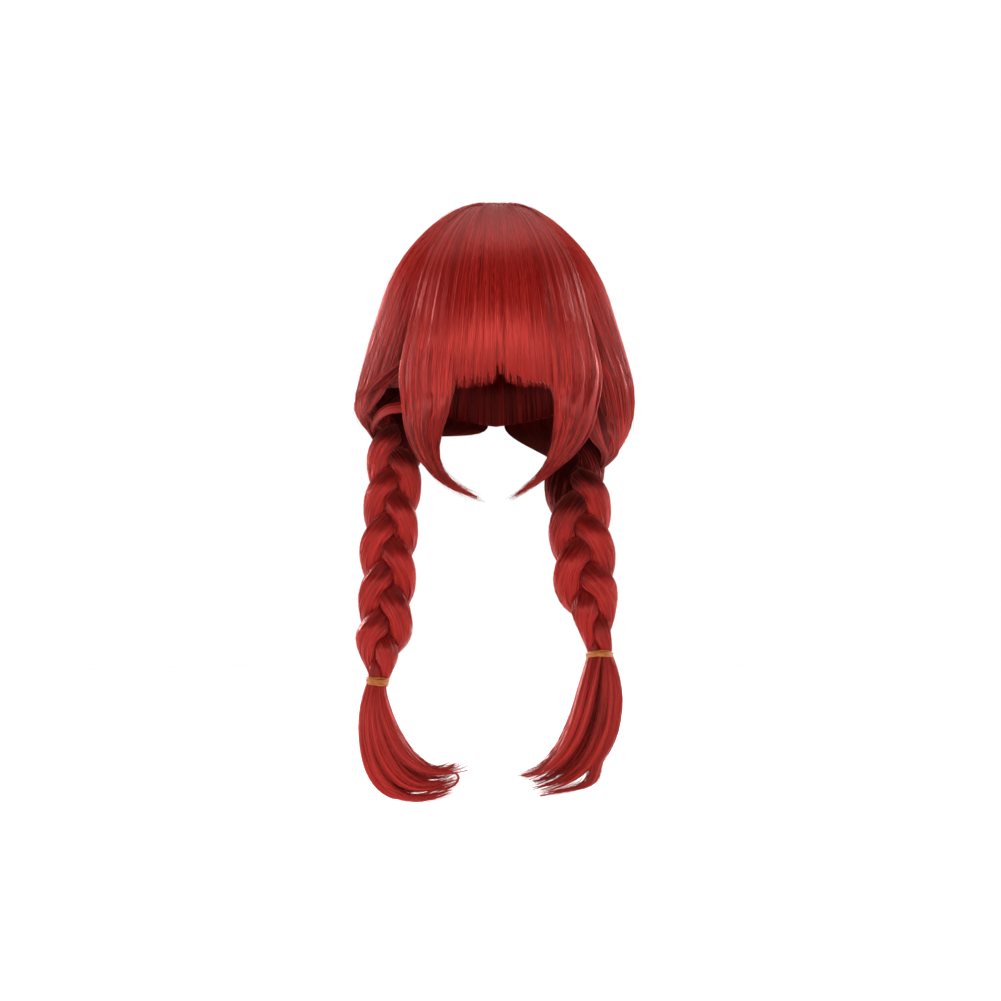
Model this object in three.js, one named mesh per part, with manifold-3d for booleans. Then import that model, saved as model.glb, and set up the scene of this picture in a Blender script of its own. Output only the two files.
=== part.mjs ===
// A long red wig with a full fringe, two face-framing side locks and two three-strand braids.
// Millimetres, +Z up. The wearer faces -Y and +X is to the right seen from the front.
// The origin is the point inside the crown that sits on top of the head.

import * as THREE from 'three';
import { mergeVertices } from 'three/addons/utils/BufferGeometryUtils.js';
import Module from 'manifold-3d';

const wasm = await Module();
wasm.setup();

// Driving dimensions

const seatGap = 0.4;           // between pieces that lie on each other
const strandGap = 1.1;         // by which each strand of a braid keeps to its own side
const reliefHeight = 1.3;      // of the locks that stand out of the crown
const curtainThinnest = 3;     // hair of the fringe and side locks, where it leaves the whorl
const curtainThickest = 7.5;   // and where it hangs free
const curtainStart = 1.5;      // station where the fringe and side locks begin
const bunchDepth = 14;         // hair layer that is swept from the rim into each braid
const bandWall = 1.3;          // of the elastic bands
const degree = Math.PI / 180;

// Stations down the head from the whorl. The hair's outer face reaches `side` to the left and right,
// `front` and `back`; the cap columns give the inner face, which fits a head 152 wide and 188 long.
const stations = [
  { z: 9.4, side: 0, front: 0, back: 0, capZ: 0, capSide: 0, capFront: 0, capBack: 0 },
  { z: 9.8, side: 16, front: 17, back: 18, capZ: -1, capSide: 13, capFront: 14, capBack: 14 },
  { z: 5.0, side: 31, front: 34, back: 37, capZ: -4, capSide: 27, capFront: 30, capBack: 31 },
  { z: -6.0, side: 48, front: 56, back: 60, capZ: -13, capSide: 43, capFront: 48, capBack: 51 },
  { z: -20.0, side: 62.5, front: 74, back: 78, capZ: -25, capSide: 55, capFront: 61, capBack: 65 },
  { z: -36.0, side: 75, front: 89, back: 93, capZ: -40, capSide: 65, capFront: 74, capBack: 79 },
  { z: -58.0, side: 86.5, front: 100, back: 107, capZ: -60, capSide: 72.5, capFront: 84, capBack: 92 },
  { z: -84.0, side: 95, front: 105, back: 113, capZ: -84, capSide: 76, capFront: 90, capBack: 98 },
  { z: -110.0, side: 103, front: 106, back: 113, capZ: -110, capSide: 78, capFront: 92, capBack: 98 },
  { z: -135.0, side: 109, front: 104, back: 107, capZ: -135, capSide: 82, capFront: 90, capBack: 92 },
  { z: -165.0, side: 111, front: 100, back: 97, capZ: -165, capSide: 86, capFront: 86, capBack: 82 },
];

// Angles are degrees round the head, 0 at the face and positive to the right.
const fringeFrom = -17.5;
const fringeTo = 23.5;
const lockFromLeft = -42.5;
const lockToRight = 49;

// Lower rim of the crown, the same on both sides
const crownRim = [
  { angle: 0, z: -52 },
  { angle: 30, z: -56 },
  { angle: 42, z: -120 },
  { angle: 54, z: -138 },
  { angle: 66, z: -138 },
  { angle: 90, z: -130 },
  { angle: 135, z: -148 },
  { angle: 180, z: -163 },
];

// Lower edge of the fringe, which parts a little at the middle of the forehead
const fringeEdge = [
  { angle: -17.5, z: -138.5 },
  { angle: -9, z: -135 },
  { angle: 2, z: -130 },
  { angle: 10, z: -135 },
  { angle: 23.5, z: -138.5 },
];
const fringeTooth = 4;

// Side locks below the fringe: the blade's middle, its width and how far it stands in front of the ears
const sideLocks = {
  left: [
    { x: -53, y: -80, z: -154, width: 37, thick: 7.5 },
    { x: -54.5, y: -80, z: -172, width: 30, thick: 7.5 },
    { x: -53, y: -80, z: -188, width: 21, thick: 7 },
    { x: -47, y: -82, z: -201, width: 14.5, thick: 6 },
    { x: -38, y: -85, z: -211, width: 10.5, thick: 5 },
    { x: -26, y: -89, z: -218, width: 7, thick: 4 },
    { x: -12, y: -92, z: -224, width: 2, thick: 2 },
  ],
  right: [
    { x: 61, y: -78, z: -154, width: 34, thick: 7.5 },
    { x: 58, y: -79, z: -172, width: 28.5, thick: 7.5 },
    { x: 52, y: -80, z: -188, width: 22, thick: 7 },
    { x: 44.5, y: -83, z: -200, width: 13.5, thick: 6 },
    { x: 36, y: -86, z: -209, width: 9.5, thick: 5 },
    { x: 26, y: -89, z: -216, width: 6.5, thick: 4 },
    { x: 14, y: -92, z: -223, width: 2, thick: 2 },
  ],
};

// Each braid from its root, below the ear, to its band,
// and how far from the root its first lobe to the right is
const braids = {
  left: {
    path: [
      { x: -79.5, y: -4, z: -182 },
      { x: -81.5, y: -22, z: -222 },
      { x: -84, y: -38, z: -264 },
      { x: -85, y: -50, z: -306 },
      { x: -89, y: -56, z: -340 },
      { x: -91.5, y: -58, z: -366 },
    ],
    halfWidth: 21.5,
    halfDepth: 15.5,
    waist: 7.6,
    taperFrom: 0.8,
    period: 115,
    firstLobe: 35.5,
    bandHeight: 7.5,
  },
  right: {
    path: [
      { x: 62, y: -6, z: -200 },
      { x: 65.5, y: -22, z: -233 },
      { x: 67.8, y: -37, z: -266 },
      { x: 71, y: -47, z: -295 },
      { x: 77.5, y: -53, z: -321 },
      { x: 80, y: -57, z: -344.5 },
    ],
    halfWidth: 24.5,
    halfDepth: 17,
    waist: 9.2,
    taperFrom: 0.62,
    period: 122,
    firstLobe: 37,
    bandHeight: 6.5,
  },
};

// Locks of each tuft, measured from the middle of its band: two points that bend it, the tip and the girth
const tufts = {
  left: [
    { startX: -3, bellyX: -16, bellyZ: -24, bendX: -12, bendZ: -113, tipX: 57, tipZ: -82, lean: -2, girth: 8.6 },
    { startX: 0, bellyX: -8, bellyZ: -22, bendX: 5, bendZ: -99, tipX: 63, tipZ: -74, lean: -9, girth: 9 },
    { startX: 3, bellyX: -0.5, bellyZ: -20, bendX: 21.5, bendZ: -84, tipX: 69, tipZ: -65, lean: -4, girth: 8.6 },
    { startX: 0, bellyX: -9, bellyZ: -22, bendX: 1, bendZ: -98, tipX: 48, tipZ: -84, lean: 8, girth: 9 },
  ],
  right: [
    { startX: -4, bellyX: -13, bellyZ: -32, bendX: -19, bendZ: -82, tipX: -59, tipZ: -96, lean: -4, girth: 8.8 },
    { startX: 0, bellyX: -1, bellyZ: -28, bendX: 3, bendZ: -90, tipX: -51, tipZ: -102, lean: -9, girth: 9.4 },
    { startX: 4, bellyX: 11, bellyZ: -25, bendX: 25, bendZ: -98, tipX: -45, tipZ: -107, lean: -2, girth: 8.8 },
    { startX: 1, bellyX: 4, bellyZ: -26, bendX: 12, bendZ: -90, tipX: -22, tipZ: -104, lean: 8, girth: 9.2 },
  ],
};

// How finely each piece is faceted
const facets = {
  crownStep: 8, crownRows: 9, capRows: 5,
  fringeColumns: 26, fringeRows: 8,
  lockColumns: 6, lockRows: 7,
  bunchRows: 7,
  strandSides: 8, strandSteps: 30,
  tuftSides: 8, tuftSteps: 8,
  bandSides: 14, bandTurns: 3,
};

// Smooth values from the tables

// The column of a table at a place counted in rows, on a smooth curve through the rows
function along(rows, column, place) {
  const i = Math.min(Math.floor(place), rows.length - 2);
  const row = (k) => rows[THREE.MathUtils.clamp(k, 0, rows.length - 1)][column];
  const [a, b, c, d] = [row(i - 1), row(i), row(i + 1), row(i + 2)];
  const t = place - i;
  return b + 0.5 * t * (c - a + t * (2 * a - 5 * b + 4 * c - d + t * (3 * (b - c) + d - a)));
}

// The height that a table of angles and heights has at an angle
function heightAt(rows, angle) {
  const i = Math.max(1, rows.findIndex((row) => row.angle >= angle));
  const share = (angle - rows[i - 1].angle) / (rows[i].angle - rows[i - 1].angle);
  return THREE.MathUtils.lerp(rows[i - 1].z, rows[i].z, share);
}

// The station whose outer face is at a height below the shoulder of the crown
function stationAt(z) {
  const i = stations.findIndex((row, k) => k > 1 && row.z <= z);
  const [above, below] = [stations[i - 1], stations[i]];
  return i - 1 + (above.z - z) / (above.z - below.z);
}

// The head's own surfaces

function ellipsePoint(angle, side, front, back, z) {
  const turn = angle * degree;
  const reach = Math.cos(turn) > 0 ? front : back;
  return new THREE.Vector3(side * Math.sin(turn), -reach * Math.cos(turn), z);
}

function capPoint(angle, station) {
  const columns = ['capSide', 'capFront', 'capBack', 'capZ'];
  const [side, front, back, z] = columns.map((column) => along(stations, column, station));
  return ellipsePoint(angle, side, front, back, z);
}

// A point of the hair, so many millimetres below its outer face on the way to the cap
function hairPoint(angle, station, depth) {
  const [side, front, back, z] = ['side', 'front', 'back', 'z'].map((c) => along(stations, c, station));
  const outer = ellipsePoint(angle, side, front, back, z);
  const inward = capPoint(angle, station).sub(outer);
  return outer.addScaledVector(inward.normalize(), depth);
}

// Shallow ribs where the hair lies in locks, fading out at the whorl
function relief(angle, station) {
  const turn = angle * degree;
  const wave = 0.6 * Math.cos(20 * turn + 0.7) + 0.4 * Math.cos(13 * turn);
  return reliefHeight * wave * THREE.MathUtils.smoothstep(station, 0.5, 4);
}

function curtainThickness(station) {
  const share = THREE.MathUtils.smoothstep(station, curtainStart, 6);
  return THREE.MathUtils.lerp(curtainThinnest, curtainThickest, share);
}

function rimStation(angle) {
  const turned = THREE.MathUtils.euclideanModulo(angle + 180, 360) - 180;
  return stationAt(heightAt(crownRim, Math.abs(turned)));
}

// Closed bodies from grids of points

function bodyFrom(points, faces) {
  const geometry = new THREE.BufferGeometry();
  geometry.setAttribute('position', new THREE.Float32BufferAttribute(points.flatMap((p) => p.toArray()), 3));
  geometry.setIndex(faces.flat());
  geometry.computeVertexNormals();
  return geometry;
}

// A wall between an outer and an inner grid of equal size, closed round its four edges
function patchWall(outer, inner) {
  const rows = outer.length;
  const columns = outer[0].length;
  const points = [...outer.flat(), ...inner.flat()];
  const out = (i, j) => i * columns + j;
  const back = (i, j) => rows * columns + out(i, j);
  const faces = [];
  const quad = (a, b, c, d) => faces.push([a, b, c], [a, c, d]);
  for (let i = 0; i + 1 < rows; i++) {
    for (let j = 0; j + 1 < columns; j++) {
      quad(out(i, j), out(i + 1, j), out(i + 1, j + 1), out(i, j + 1));
      quad(back(i, j), back(i, j + 1), back(i + 1, j + 1), back(i + 1, j));
    }
    quad(out(i, 0), back(i, 0), back(i + 1, 0), out(i + 1, 0));
    quad(out(i, columns - 1), out(i + 1, columns - 1), back(i + 1, columns - 1), back(i, columns - 1));
  }
  for (let j = 0; j + 1 < columns; j++) {
    quad(out(0, j), out(0, j + 1), back(0, j + 1), back(0, j));
    quad(out(rows - 1, j), back(rows - 1, j), back(rows - 1, j + 1), out(rows - 1, j + 1));
  }
  return bodyFrom(points, faces);
}

// A hollow dome: rings of points down its outer face, up its inner face, and a pole at each
function domeWall(outerRings, innerRings, outerPole, innerPole) {
  const rings = [...outerRings, ...innerRings.toReversed()];
  const columns = rings[0].length;
  const points = [...rings.flat(), outerPole, innerPole];
  const [top, under] = [points.length - 2, points.length - 1];
  const at = (i, j) => i * columns + (j % columns);
  const faces = [];
  for (let j = 0; j < columns; j++) {
    faces.push([top, at(0, j), at(0, j + 1)]);
    for (let i = 0; i + 1 < rings.length; i++) {
      faces.push([at(i, j), at(i + 1, j), at(i + 1, j + 1)], [at(i, j), at(i + 1, j + 1), at(i, j + 1)]);
    }
    faces.push([under, at(rings.length - 1, j + 1), at(rings.length - 1, j)]);
  }
  return bodyFrom(points, faces);
}

// A closed tube through rings of points, each end closed by a fan round its middle
function tubeBody(rings) {
  const sides = rings[0].length;
  const middle = (ring) => ring.reduce((sum, p) => sum.add(p), new THREE.Vector3()).divideScalar(sides);
  const points = [...rings.flat(), middle(rings[0]), middle(rings.at(-1))];
  const [first, last] = [points.length - 2, points.length - 1];
  const at = (i, j) => i * sides + (j % sides);
  const faces = [];
  for (let j = 0; j < sides; j++) {
    faces.push([first, at(0, j + 1), at(0, j)]);
    for (let i = 0; i + 1 < rings.length; i++) {
      faces.push([at(i, j), at(i, j + 1), at(i + 1, j + 1)], [at(i, j), at(i + 1, j + 1), at(i + 1, j)]);
    }
    faces.push([last, at(rings.length - 1, j), at(rings.length - 1, j + 1)]);
  }
  return bodyFrom(points, faces);
}

function solidFrom(geometry) {
  const bare = geometry.clone();
  bare.deleteAttribute('normal');
  const merged = mergeVertices(bare, 1e-4);
  const vertProperties = new Float32Array(merged.attributes.position.array);
  const triVerts = new Uint32Array(merged.index.array);
  return new wasm.Manifold(new wasm.Mesh({ numProp: 3, vertProperties, triVerts }));
}

const fuse = (geometries) => geometryFrom(geometries.map(solidFrom).reduce((whole, next) => whole.add(next)));
const cut = (body, tools) => {
  const rest = tools.map(solidFrom).reduce((whole, tool) => whole.subtract(tool), solidFrom(body));
  return geometryFrom(rest);
};

function geometryFrom(solid) {
  const mesh = solid.getMesh();
  const geometry = new THREE.BufferGeometry();
  geometry.setAttribute('position', new THREE.BufferAttribute(new Float32Array(mesh.vertProperties), 3));
  geometry.setIndex(new THREE.BufferAttribute(new Uint32Array(mesh.triVerts), 1));
  geometry.computeVertexNormals();
  return geometry;
}

const spread = (count, from, to) => {
  const place = (_, i) => THREE.MathUtils.lerp(from, to, i / count);
  return Array.from({ length: count + 1 }, place);
};

// Crown: the hollow hood of hair, let in where the fringe and side locks lie on it

function crownGeometry() {
  const angles = spread(360 / facets.crownStep, 0, 360).slice(0, -1);
  const outerRow = (share) => angles.map((angle) => {
    const station = THREE.MathUtils.lerp(0.7, rimStation(angle), share);
    return hairPoint(angle, station, -relief(angle, station));
  });
  const innerRow = (share) => angles.map((angle) => {
    const station = THREE.MathUtils.lerp(0.9, rimStation(angle), share);
    return capPoint(angle, station);
  });
  const outerRings = spread(facets.crownRows, 0, 1).map(outerRow);
  const innerRings = spread(facets.capRows, 0, 1).map(innerRow);
  const hood = domeWall(outerRings, innerRings, hairPoint(0, 0, 0), capPoint(0, 0));
  const room = 1.5 * seatGap;
  return cut(hood, [fringeGeometry(room), sideLockGeometry('left', room), sideLockGeometry('right', room)]);
}

// The fringe and side locks lie in the crown with a small gap all round. A grown one, which reaches over
// that gap and well clear of the outside, is what the crown is let in by.

const sideGap = (grown) => (grown > 0 ? -0.25 : 0.25);
const curtainFace = (angle, station, grown) => (grown > 0 ? -8 : -0.5 * relief(angle, station));

// Fringe: a curved curtain of hair whose lower edge ends in pointed locks

function fringeGeometry(grown = 0) {
  const angles = spread(facets.fringeColumns, fringeFrom + sideGap(grown), fringeTo - sideGap(grown));
  const edgeStation = (angle, j) => stationAt(heightAt(fringeEdge, angle) - (j % 2 ? fringeTooth : 0));
  const row = (share, face) => angles.map((angle, j) => {
    const station = THREE.MathUtils.lerp(curtainStart - 0.1 * grown, edgeStation(angle, j), share);
    const thickness = curtainThickness(station) * (1 - 0.65 * THREE.MathUtils.smoothstep(share, 0.75, 1));
    const depth = face === 'outer' ? curtainFace(angle, station, grown) : thickness + grown;
    return hairPoint(angle, station, depth);
  });
  const shares = spread(facets.fringeRows, 0, 1);
  return patchWall(shares.map((share) => row(share, 'outer')), shares.map((share) => row(share, 'inner')));
}

// Side locks: a curtain from the whorl to the cheek, then a blade that narrows and sweeps in to a point

function sideLockGeometry(name, grown = 0) {
  const [from, to] = name === 'left' ? [lockFromLeft, fringeFrom] : [fringeTo, lockToRight];
  const blade = sideLocks[name];
  const shares = spread(facets.lockColumns, 0, 1);
  const curtainRow = (share, face) => shares.map((way) => {
    const angle = THREE.MathUtils.lerp(from + sideGap(grown), to - sideGap(grown), way);
    const station = THREE.MathUtils.lerp(curtainStart - 0.1 * grown, stationAt(-140), share);
    const thickness = curtainThickness(station);
    const depth = face === 'outer' ? curtainFace(angle, station, grown) : thickness + grown;
    return hairPoint(angle, station, depth);
  });
  const bladeRow = (i, face) => {
    const { x, y, z, width, thick } = blade[i];
    const [before, after] = [blade[Math.max(i - 1, 0)], blade[Math.min(i + 1, blade.length - 1)]];
    const run = new THREE.Vector2(after.x - before.x, after.z - before.z).normalize();
    const across = new THREE.Vector3(-run.y, 0, run.x);
    const turnBack = 0.55 * (1 - i / blade.length) * (name === 'left' ? -1 : 1);
    return shares.map((way) => {
      const offset = width * (way - 0.5);
      const bow = 0.07 * width * (1 - (2 * way - 1) ** 2);
      const lens = thick * (0.35 + 0.65 * Math.sqrt(1 - (2 * way - 1) ** 2));
      const depth = y + turnBack * offset - bow + (face === 'outer' ? -lens / 2 : lens / 2);
      return new THREE.Vector3(x + across.x * offset, depth, z + across.z * offset);
    });
  };
  const rows = (face) => [
    ...spread(facets.lockRows, 0, 1).map((share) => curtainRow(share, face)),
    ...blade.map((_, i) => bladeRow(i, face)),
  ];
  return patchWall(rows('outer'), rows('inner'));
}

// Braid axes and the frame across them

function braidAxis(name) {
  const points = braids[name].path.map(({ x, y, z }) => new THREE.Vector3(x, y, z));
  const curve = new THREE.CatmullRomCurve3(points);
  const frameAt = (share) => {
    const down = curve.getTangentAt(share);
    const width = new THREE.Vector3(1, 0, 0).addScaledVector(down, -down.x).normalize();
    const front = new THREE.Vector3().crossVectors(down, width);
    return { centre: curve.getPointAt(share), down, width, front };
  };
  return { length: curve.getLength(), frameAt };
}

// Bunch: the hair of one side and half the back, swept from the crown's rim into the root of its braid

function bunchGeometry(name) {
  const sign = name === 'left' ? -1 : 1;
  const { halfWidth, halfDepth } = braids[name];
  const { centre, down, width, front } = braidAxis(name).frameAt(0);
  const [frontAngle, backAngle, rimDrop] = [56, 176, 0.02];
  const rootShrink = 0.92;
  const bellow = name === 'left' ? 0.75 : 1;
  const rootPoint = (turn) => centre.clone()
    .addScaledVector(width, sign * rootShrink * halfWidth * Math.cos(turn * degree))
    .addScaledVector(front, rootShrink * halfDepth * Math.sin(turn * degree))
    .addScaledVector(down, -seatGap);
  const shares = spread((backAngle - frontAngle) / facets.crownStep, 0, 1);
  const strandOf = (share, face) => {
    const angle = sign * THREE.MathUtils.lerp(frontAngle, backAngle, share);
    const rim = rimStation(angle) + rimDrop;
    const depth = face === 'outer' ? -relief(angle, rim) : bunchDepth * (1 - 0.35 * share);
    const start = hairPoint(angle, rim, depth);
    const falling = start.clone().sub(hairPoint(angle, rim - 0.3, depth)).normalize();
    const [firstTurn, lastTurn] = face === 'outer' ? [78, -78] : [102, 258];
    const turn = THREE.MathUtils.lerp(firstTurn, lastTurn, share);
    const end = rootPoint(turn);
    const reach = start.distanceTo(end);
    const leave = falling.multiplyScalar(reach * bellow * THREE.MathUtils.lerp(1, 0.15, share));
    const arrive = down.clone().multiplyScalar(-reach * 0.18);
    return new THREE.CubicBezierCurve3(start, start.clone().add(leave), end.clone().add(arrive), end);
  };
  const grid = (face) => {
    const strands = shares.map((share) => strandOf(share, face));
    return spread(facets.bunchRows, 0, 1).map((t) => strands.map((strand) => strand.getPoint(t)));
  };
  const [outer, inner] = [grid('outer'), grid('inner')];
  if (sign > 0) return patchWall(outer, inner);
  return patchWall(outer.map((row) => row.toReversed()), inner.map((row) => row.toReversed()));
}

// Braid: three strands that pass from the middle out to the edge in front and back to the middle behind.
// Each strand is squeezed flat where it meets the other two.

function braidTaper(name, share) {
  const { halfWidth, waist, taperFrom } = braids[name];
  return THREE.MathUtils.lerp(1, waist / halfWidth, THREE.MathUtils.smoothstep(share, taperFrom, 0.965));
}

function strandCentre(name, index, distance, taper) {
  const { halfWidth, halfDepth, period, firstLobe } = braids[name];
  const turn = (2 * Math.PI * (distance - firstLobe)) / period + Math.PI / 2 + (index * 2 * Math.PI) / 3;
  const middle = new THREE.Vector2(0.46 * halfWidth * Math.sin(turn), 0.4 * halfDepth * Math.sin(2 * turn));
  return middle.multiplyScalar(taper);
}

// A strand before its neighbours are cut from it, grown all round by so much
function bareStrand(name, index, grown) {
  const { halfWidth, halfDepth } = braids[name];
  const axis = braidAxis(name);
  const ring = (share) => {
    const taper = braidTaper(name, share);
    const distance = share * axis.length;
    const { centre, width, front } = axis.frameAt(share);
    const middles = [0, 1, 2].map((k) => strandCentre(name, k, distance, taper));
    const [across, deep] = [0.54 * halfWidth * taper, 0.66 * halfDepth * taper];
    return spread(facets.strandSides, 0, 2 * Math.PI).slice(0, -1).map((turn) => {
      const way = new THREE.Vector2(Math.cos(turn), Math.sin(turn));
      let radius = (Math.abs(way.x / across) ** 2.6 + Math.abs(way.y / deep) ** 2.6) ** (-1 / 2.6);
      middles.forEach((other, k) => {
        const apart = other.clone().sub(middles[index]);
        const facing = way.dot(apart) / apart.length();
        if (k !== index && facing > 0.05) {
          radius = Math.min(radius, (apart.length() / 2 - strandGap * taper) / facing);
        }
      });
      const local = middles[index].clone().addScaledVector(way, radius + grown);
      return centre.clone().addScaledVector(width, local.x).addScaledVector(front, local.y);
    });
  };
  const endShare = 1 - seatGap / axis.length;
  return tubeBody(spread(facets.strandSteps, 0, endShare).map(ring));
}

function strandGeometry(name, index) {
  const earlier = Array.from({ length: index }, (_, k) => bareStrand(name, k, seatGap));
  return cut(bareStrand(name, index, 0), earlier);
}

// Band: an elastic wound round the waist of a braid in several turns

function bandGeometry(name) {
  const { waist, bandHeight } = braids[name];
  const inside = waist + seatGap;
  const turnHeight = bandHeight / facets.bandTurns;
  const profile = [new THREE.Vector2(inside, -bandHeight / 2)];
  for (let k = 0; k < facets.bandTurns; k++) {
    const low = -bandHeight / 2 + k * turnHeight;
    profile.push(new THREE.Vector2(inside + 0.7 * bandWall, low + 0.1 * turnHeight));
    profile.push(new THREE.Vector2(inside + bandWall, low + 0.5 * turnHeight));
    profile.push(new THREE.Vector2(inside + 0.7 * bandWall, low + 0.9 * turnHeight));
  }
  profile.push(new THREE.Vector2(inside, bandHeight / 2), profile[0].clone());
  const lathe = new THREE.LatheGeometry(profile, facets.bandSides);
  lathe.deleteAttribute('normal');
  lathe.deleteAttribute('uv');
  return mergeVertices(lathe.rotateX(Math.PI / 2), 1e-4);
}

// Tuft: loose locks below the band, fused to a short head that the band holds

function lockTube(curve, girth) {
  const ring = (share) => {
    const down = curve.getTangentAt(share);
    const width = new THREE.Vector3(1, 0, 0).addScaledVector(down, -down.x).normalize();
    const front = new THREE.Vector3().crossVectors(down, width);
    const swell = THREE.MathUtils.lerp(0.45, 1, THREE.MathUtils.smoothstep(share, 0, 0.35));
    const radius = girth * swell * (1 - 0.9 * THREE.MathUtils.smoothstep(share, 0.5, 1));
    return spread(facets.tuftSides, 0, 2 * Math.PI).slice(0, -1).map((turn) => curve.getPointAt(share)
      .addScaledVector(width, radius * Math.cos(turn))
      .addScaledVector(front, 0.8 * radius * Math.sin(turn)));
  };
  return tubeBody(spread(facets.tuftSteps, 0, 1).map(ring));
}

function tuftGeometry(name) {
  const { waist, bandHeight } = braids[name];
  const { centre, down, width, front } = braidAxis(name).frameAt(1);
  const headRing = (drop, size) => spread(12, 0, 2 * Math.PI).slice(0, -1).map((turn) => centre.clone()
    .addScaledVector(down, drop)
    .addScaledVector(width, size * Math.cos(turn))
    .addScaledVector(front, size * Math.sin(turn)));
  const headRings = [
    headRing(seatGap, 0.95 * waist),
    headRing(0.8 * bandHeight, 0.95 * waist),
    headRing(14, waist),
  ];
  const head = tubeBody(headRings);
  const locks = tufts[name].map(({ startX, bellyX, bellyZ, bendX, bendZ, tipX, tipZ, lean, girth }) => {
    const from = (x, y, z) => centre.clone().add(new THREE.Vector3(x, y, z));
    const start = from(startX, 0, -0.75 * bandHeight);
    return lockTube(new THREE.CubicBezierCurve3(
      start, from(bellyX, lean, bellyZ), from(bendX, lean, bendZ), from(tipX, 0.5 * lean, tipZ)), girth);
  });
  return fuse([head, ...locks]);
}

// Materials

const hair = (color) => new THREE.MeshStandardMaterial({ color, roughness: 0.42, metalness: 0 });
const crownHair = hair(0x9c2a26);
const fringeHair = hair(0xa52b27);
const braidHair = hair(0x8e2321);
const elastic = new THREE.MeshStandardMaterial({ color: 0xb5702c, roughness: 0.35, metalness: 0 });

// Assembly

function piece(name, geometry, material) {
  const mesh = new THREE.Mesh(geometry, material);
  mesh.name = name;
  return mesh;
}

const wig = new THREE.Group();
wig.add(piece('crown', crownGeometry(), crownHair), piece('fringe', fringeGeometry(), fringeHair));
for (const name of ['left', 'right']) {
  const side = new THREE.Group();
  side.add(piece(`side_lock_${name}`, sideLockGeometry(name), fringeHair));
  side.add(piece(`bunch_${name}`, bunchGeometry(name), crownHair));
  for (const index of [0, 1, 2]) {
    side.add(piece(`braid_${name}_strand_${index + 1}`, strandGeometry(name, index), braidHair));
  }
  const band = piece(`band_${name}`, bandGeometry(name), elastic);
  const { centre, down } = braidAxis(name).frameAt(1);
  band.position.copy(centre);
  band.quaternion.setFromUnitVectors(new THREE.Vector3(0, 0, -1), down);
  side.add(band, piece(`tuft_${name}`, tuftGeometry(name), braidHair));
  wig.add(side);
}

export default wig;
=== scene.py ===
import math
import bpy
import numpy as np
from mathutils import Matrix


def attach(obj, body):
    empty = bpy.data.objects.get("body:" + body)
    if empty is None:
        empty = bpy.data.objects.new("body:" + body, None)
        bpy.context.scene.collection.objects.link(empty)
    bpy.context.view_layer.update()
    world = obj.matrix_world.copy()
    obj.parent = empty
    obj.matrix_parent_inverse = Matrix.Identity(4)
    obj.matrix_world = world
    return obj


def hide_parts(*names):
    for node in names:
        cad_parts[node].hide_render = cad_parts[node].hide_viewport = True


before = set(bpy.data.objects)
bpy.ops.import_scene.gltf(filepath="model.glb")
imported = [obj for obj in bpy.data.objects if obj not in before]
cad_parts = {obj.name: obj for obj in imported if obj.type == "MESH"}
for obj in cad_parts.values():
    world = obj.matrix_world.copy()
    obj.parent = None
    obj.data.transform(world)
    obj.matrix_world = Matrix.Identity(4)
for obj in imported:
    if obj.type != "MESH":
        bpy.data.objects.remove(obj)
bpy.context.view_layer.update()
rng = np.random.default_rng(20)


# Small helpers on whole arrays. Lengths are in mm, angles round the head in degrees

fullTurn = 2 * math.pi
anyPhase = (0, 6.28)  # range for the random start of a wave
sideSign = {"left": -1, "right": 1}


def smooth(low, high, x):  # eased step: t t (3 - 2 t), t being the share of the way from low to high
    t = np.clip((x - low) / (high - low), 0, 1)
    return t * t * (3 - 2 * t)


def mix(a, b, t):  # straight blend: a, plus the share t of the step from a to b
    return a + (b - a) * t


def unit(vectors):  # each vector divided by its length
    return vectors / np.maximum(np.linalg.norm(vectors, axis=-1, keepdims=True), 1e-9)


def along(rows, place):
    # Smooth curve through the rows of a table, at places counted in rows: between two rows it is
    # a cubic whose slope at each row is half the step between that row's neighbours
    i = np.clip(np.floor(place).astype(int), 0, len(rows) - 2)
    a, b, c, d = (rows[np.clip(i + k, 0, len(rows) - 1)] for k in (-1, 0, 1, 2))
    t = (place - i).reshape(place.shape + (1,) * (rows.ndim - 1))
    return b + 0.5 * t * (c - a + t * (2 * a - 5 * b + 4 * c - d + t * (3 * (b - c) + d - a)))


def fourPointCurve(controls, t):
    # From the first point to the last, drawn towards the two between: the points weighted
    # s s s, 3 s s t, 3 s t t and t t t and added up, s being 1 - t
    s = 1 - t
    start, leave, arrive, end = controls
    return s**3 * start + 3 * s * s * t * leave + 3 * s * t * t * arrive + t**3 * end


def ridges(turn, power=0.7, level=1.25):
    # Round ridges, sharp valleys: twice the cosine's size to a power, less level
    return 2 * np.abs(np.cos(turn)) ** power - level


def sway(count, steps):
    # Slow wander along each hair: three sines of random height and start, eased in from the root
    t = np.linspace(0, 1, steps)[None]
    total = 0
    for rate in (0.5, 1, 1.7):
        height = rng.normal(0, 1, (count, 1)) / rate
        total = total + height * np.sin(fullTurn * rate * t + rng.uniform(*anyPhase, (count, 1)))
    return 0.6 * total * smooth(0, 0.25, t)


def pathFrame(paths):
    # Side: each path's run crossed with straight ahead; outward: the side crossed with the run
    run = unit(np.gradient(paths, axis=1))
    side = unit(np.cross(run, [0, -1.0, 0]))
    return side, np.cross(side, run)


# Meshes: every body is a batch of tubes, rings of points carried along a path and closed at both ends

meshLook = {"metresPerUnit": 0.001, "crease": 50, "bakeSide": 0.03, "bakeEnd": 0.01, "bakeBody": 0.02}


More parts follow.
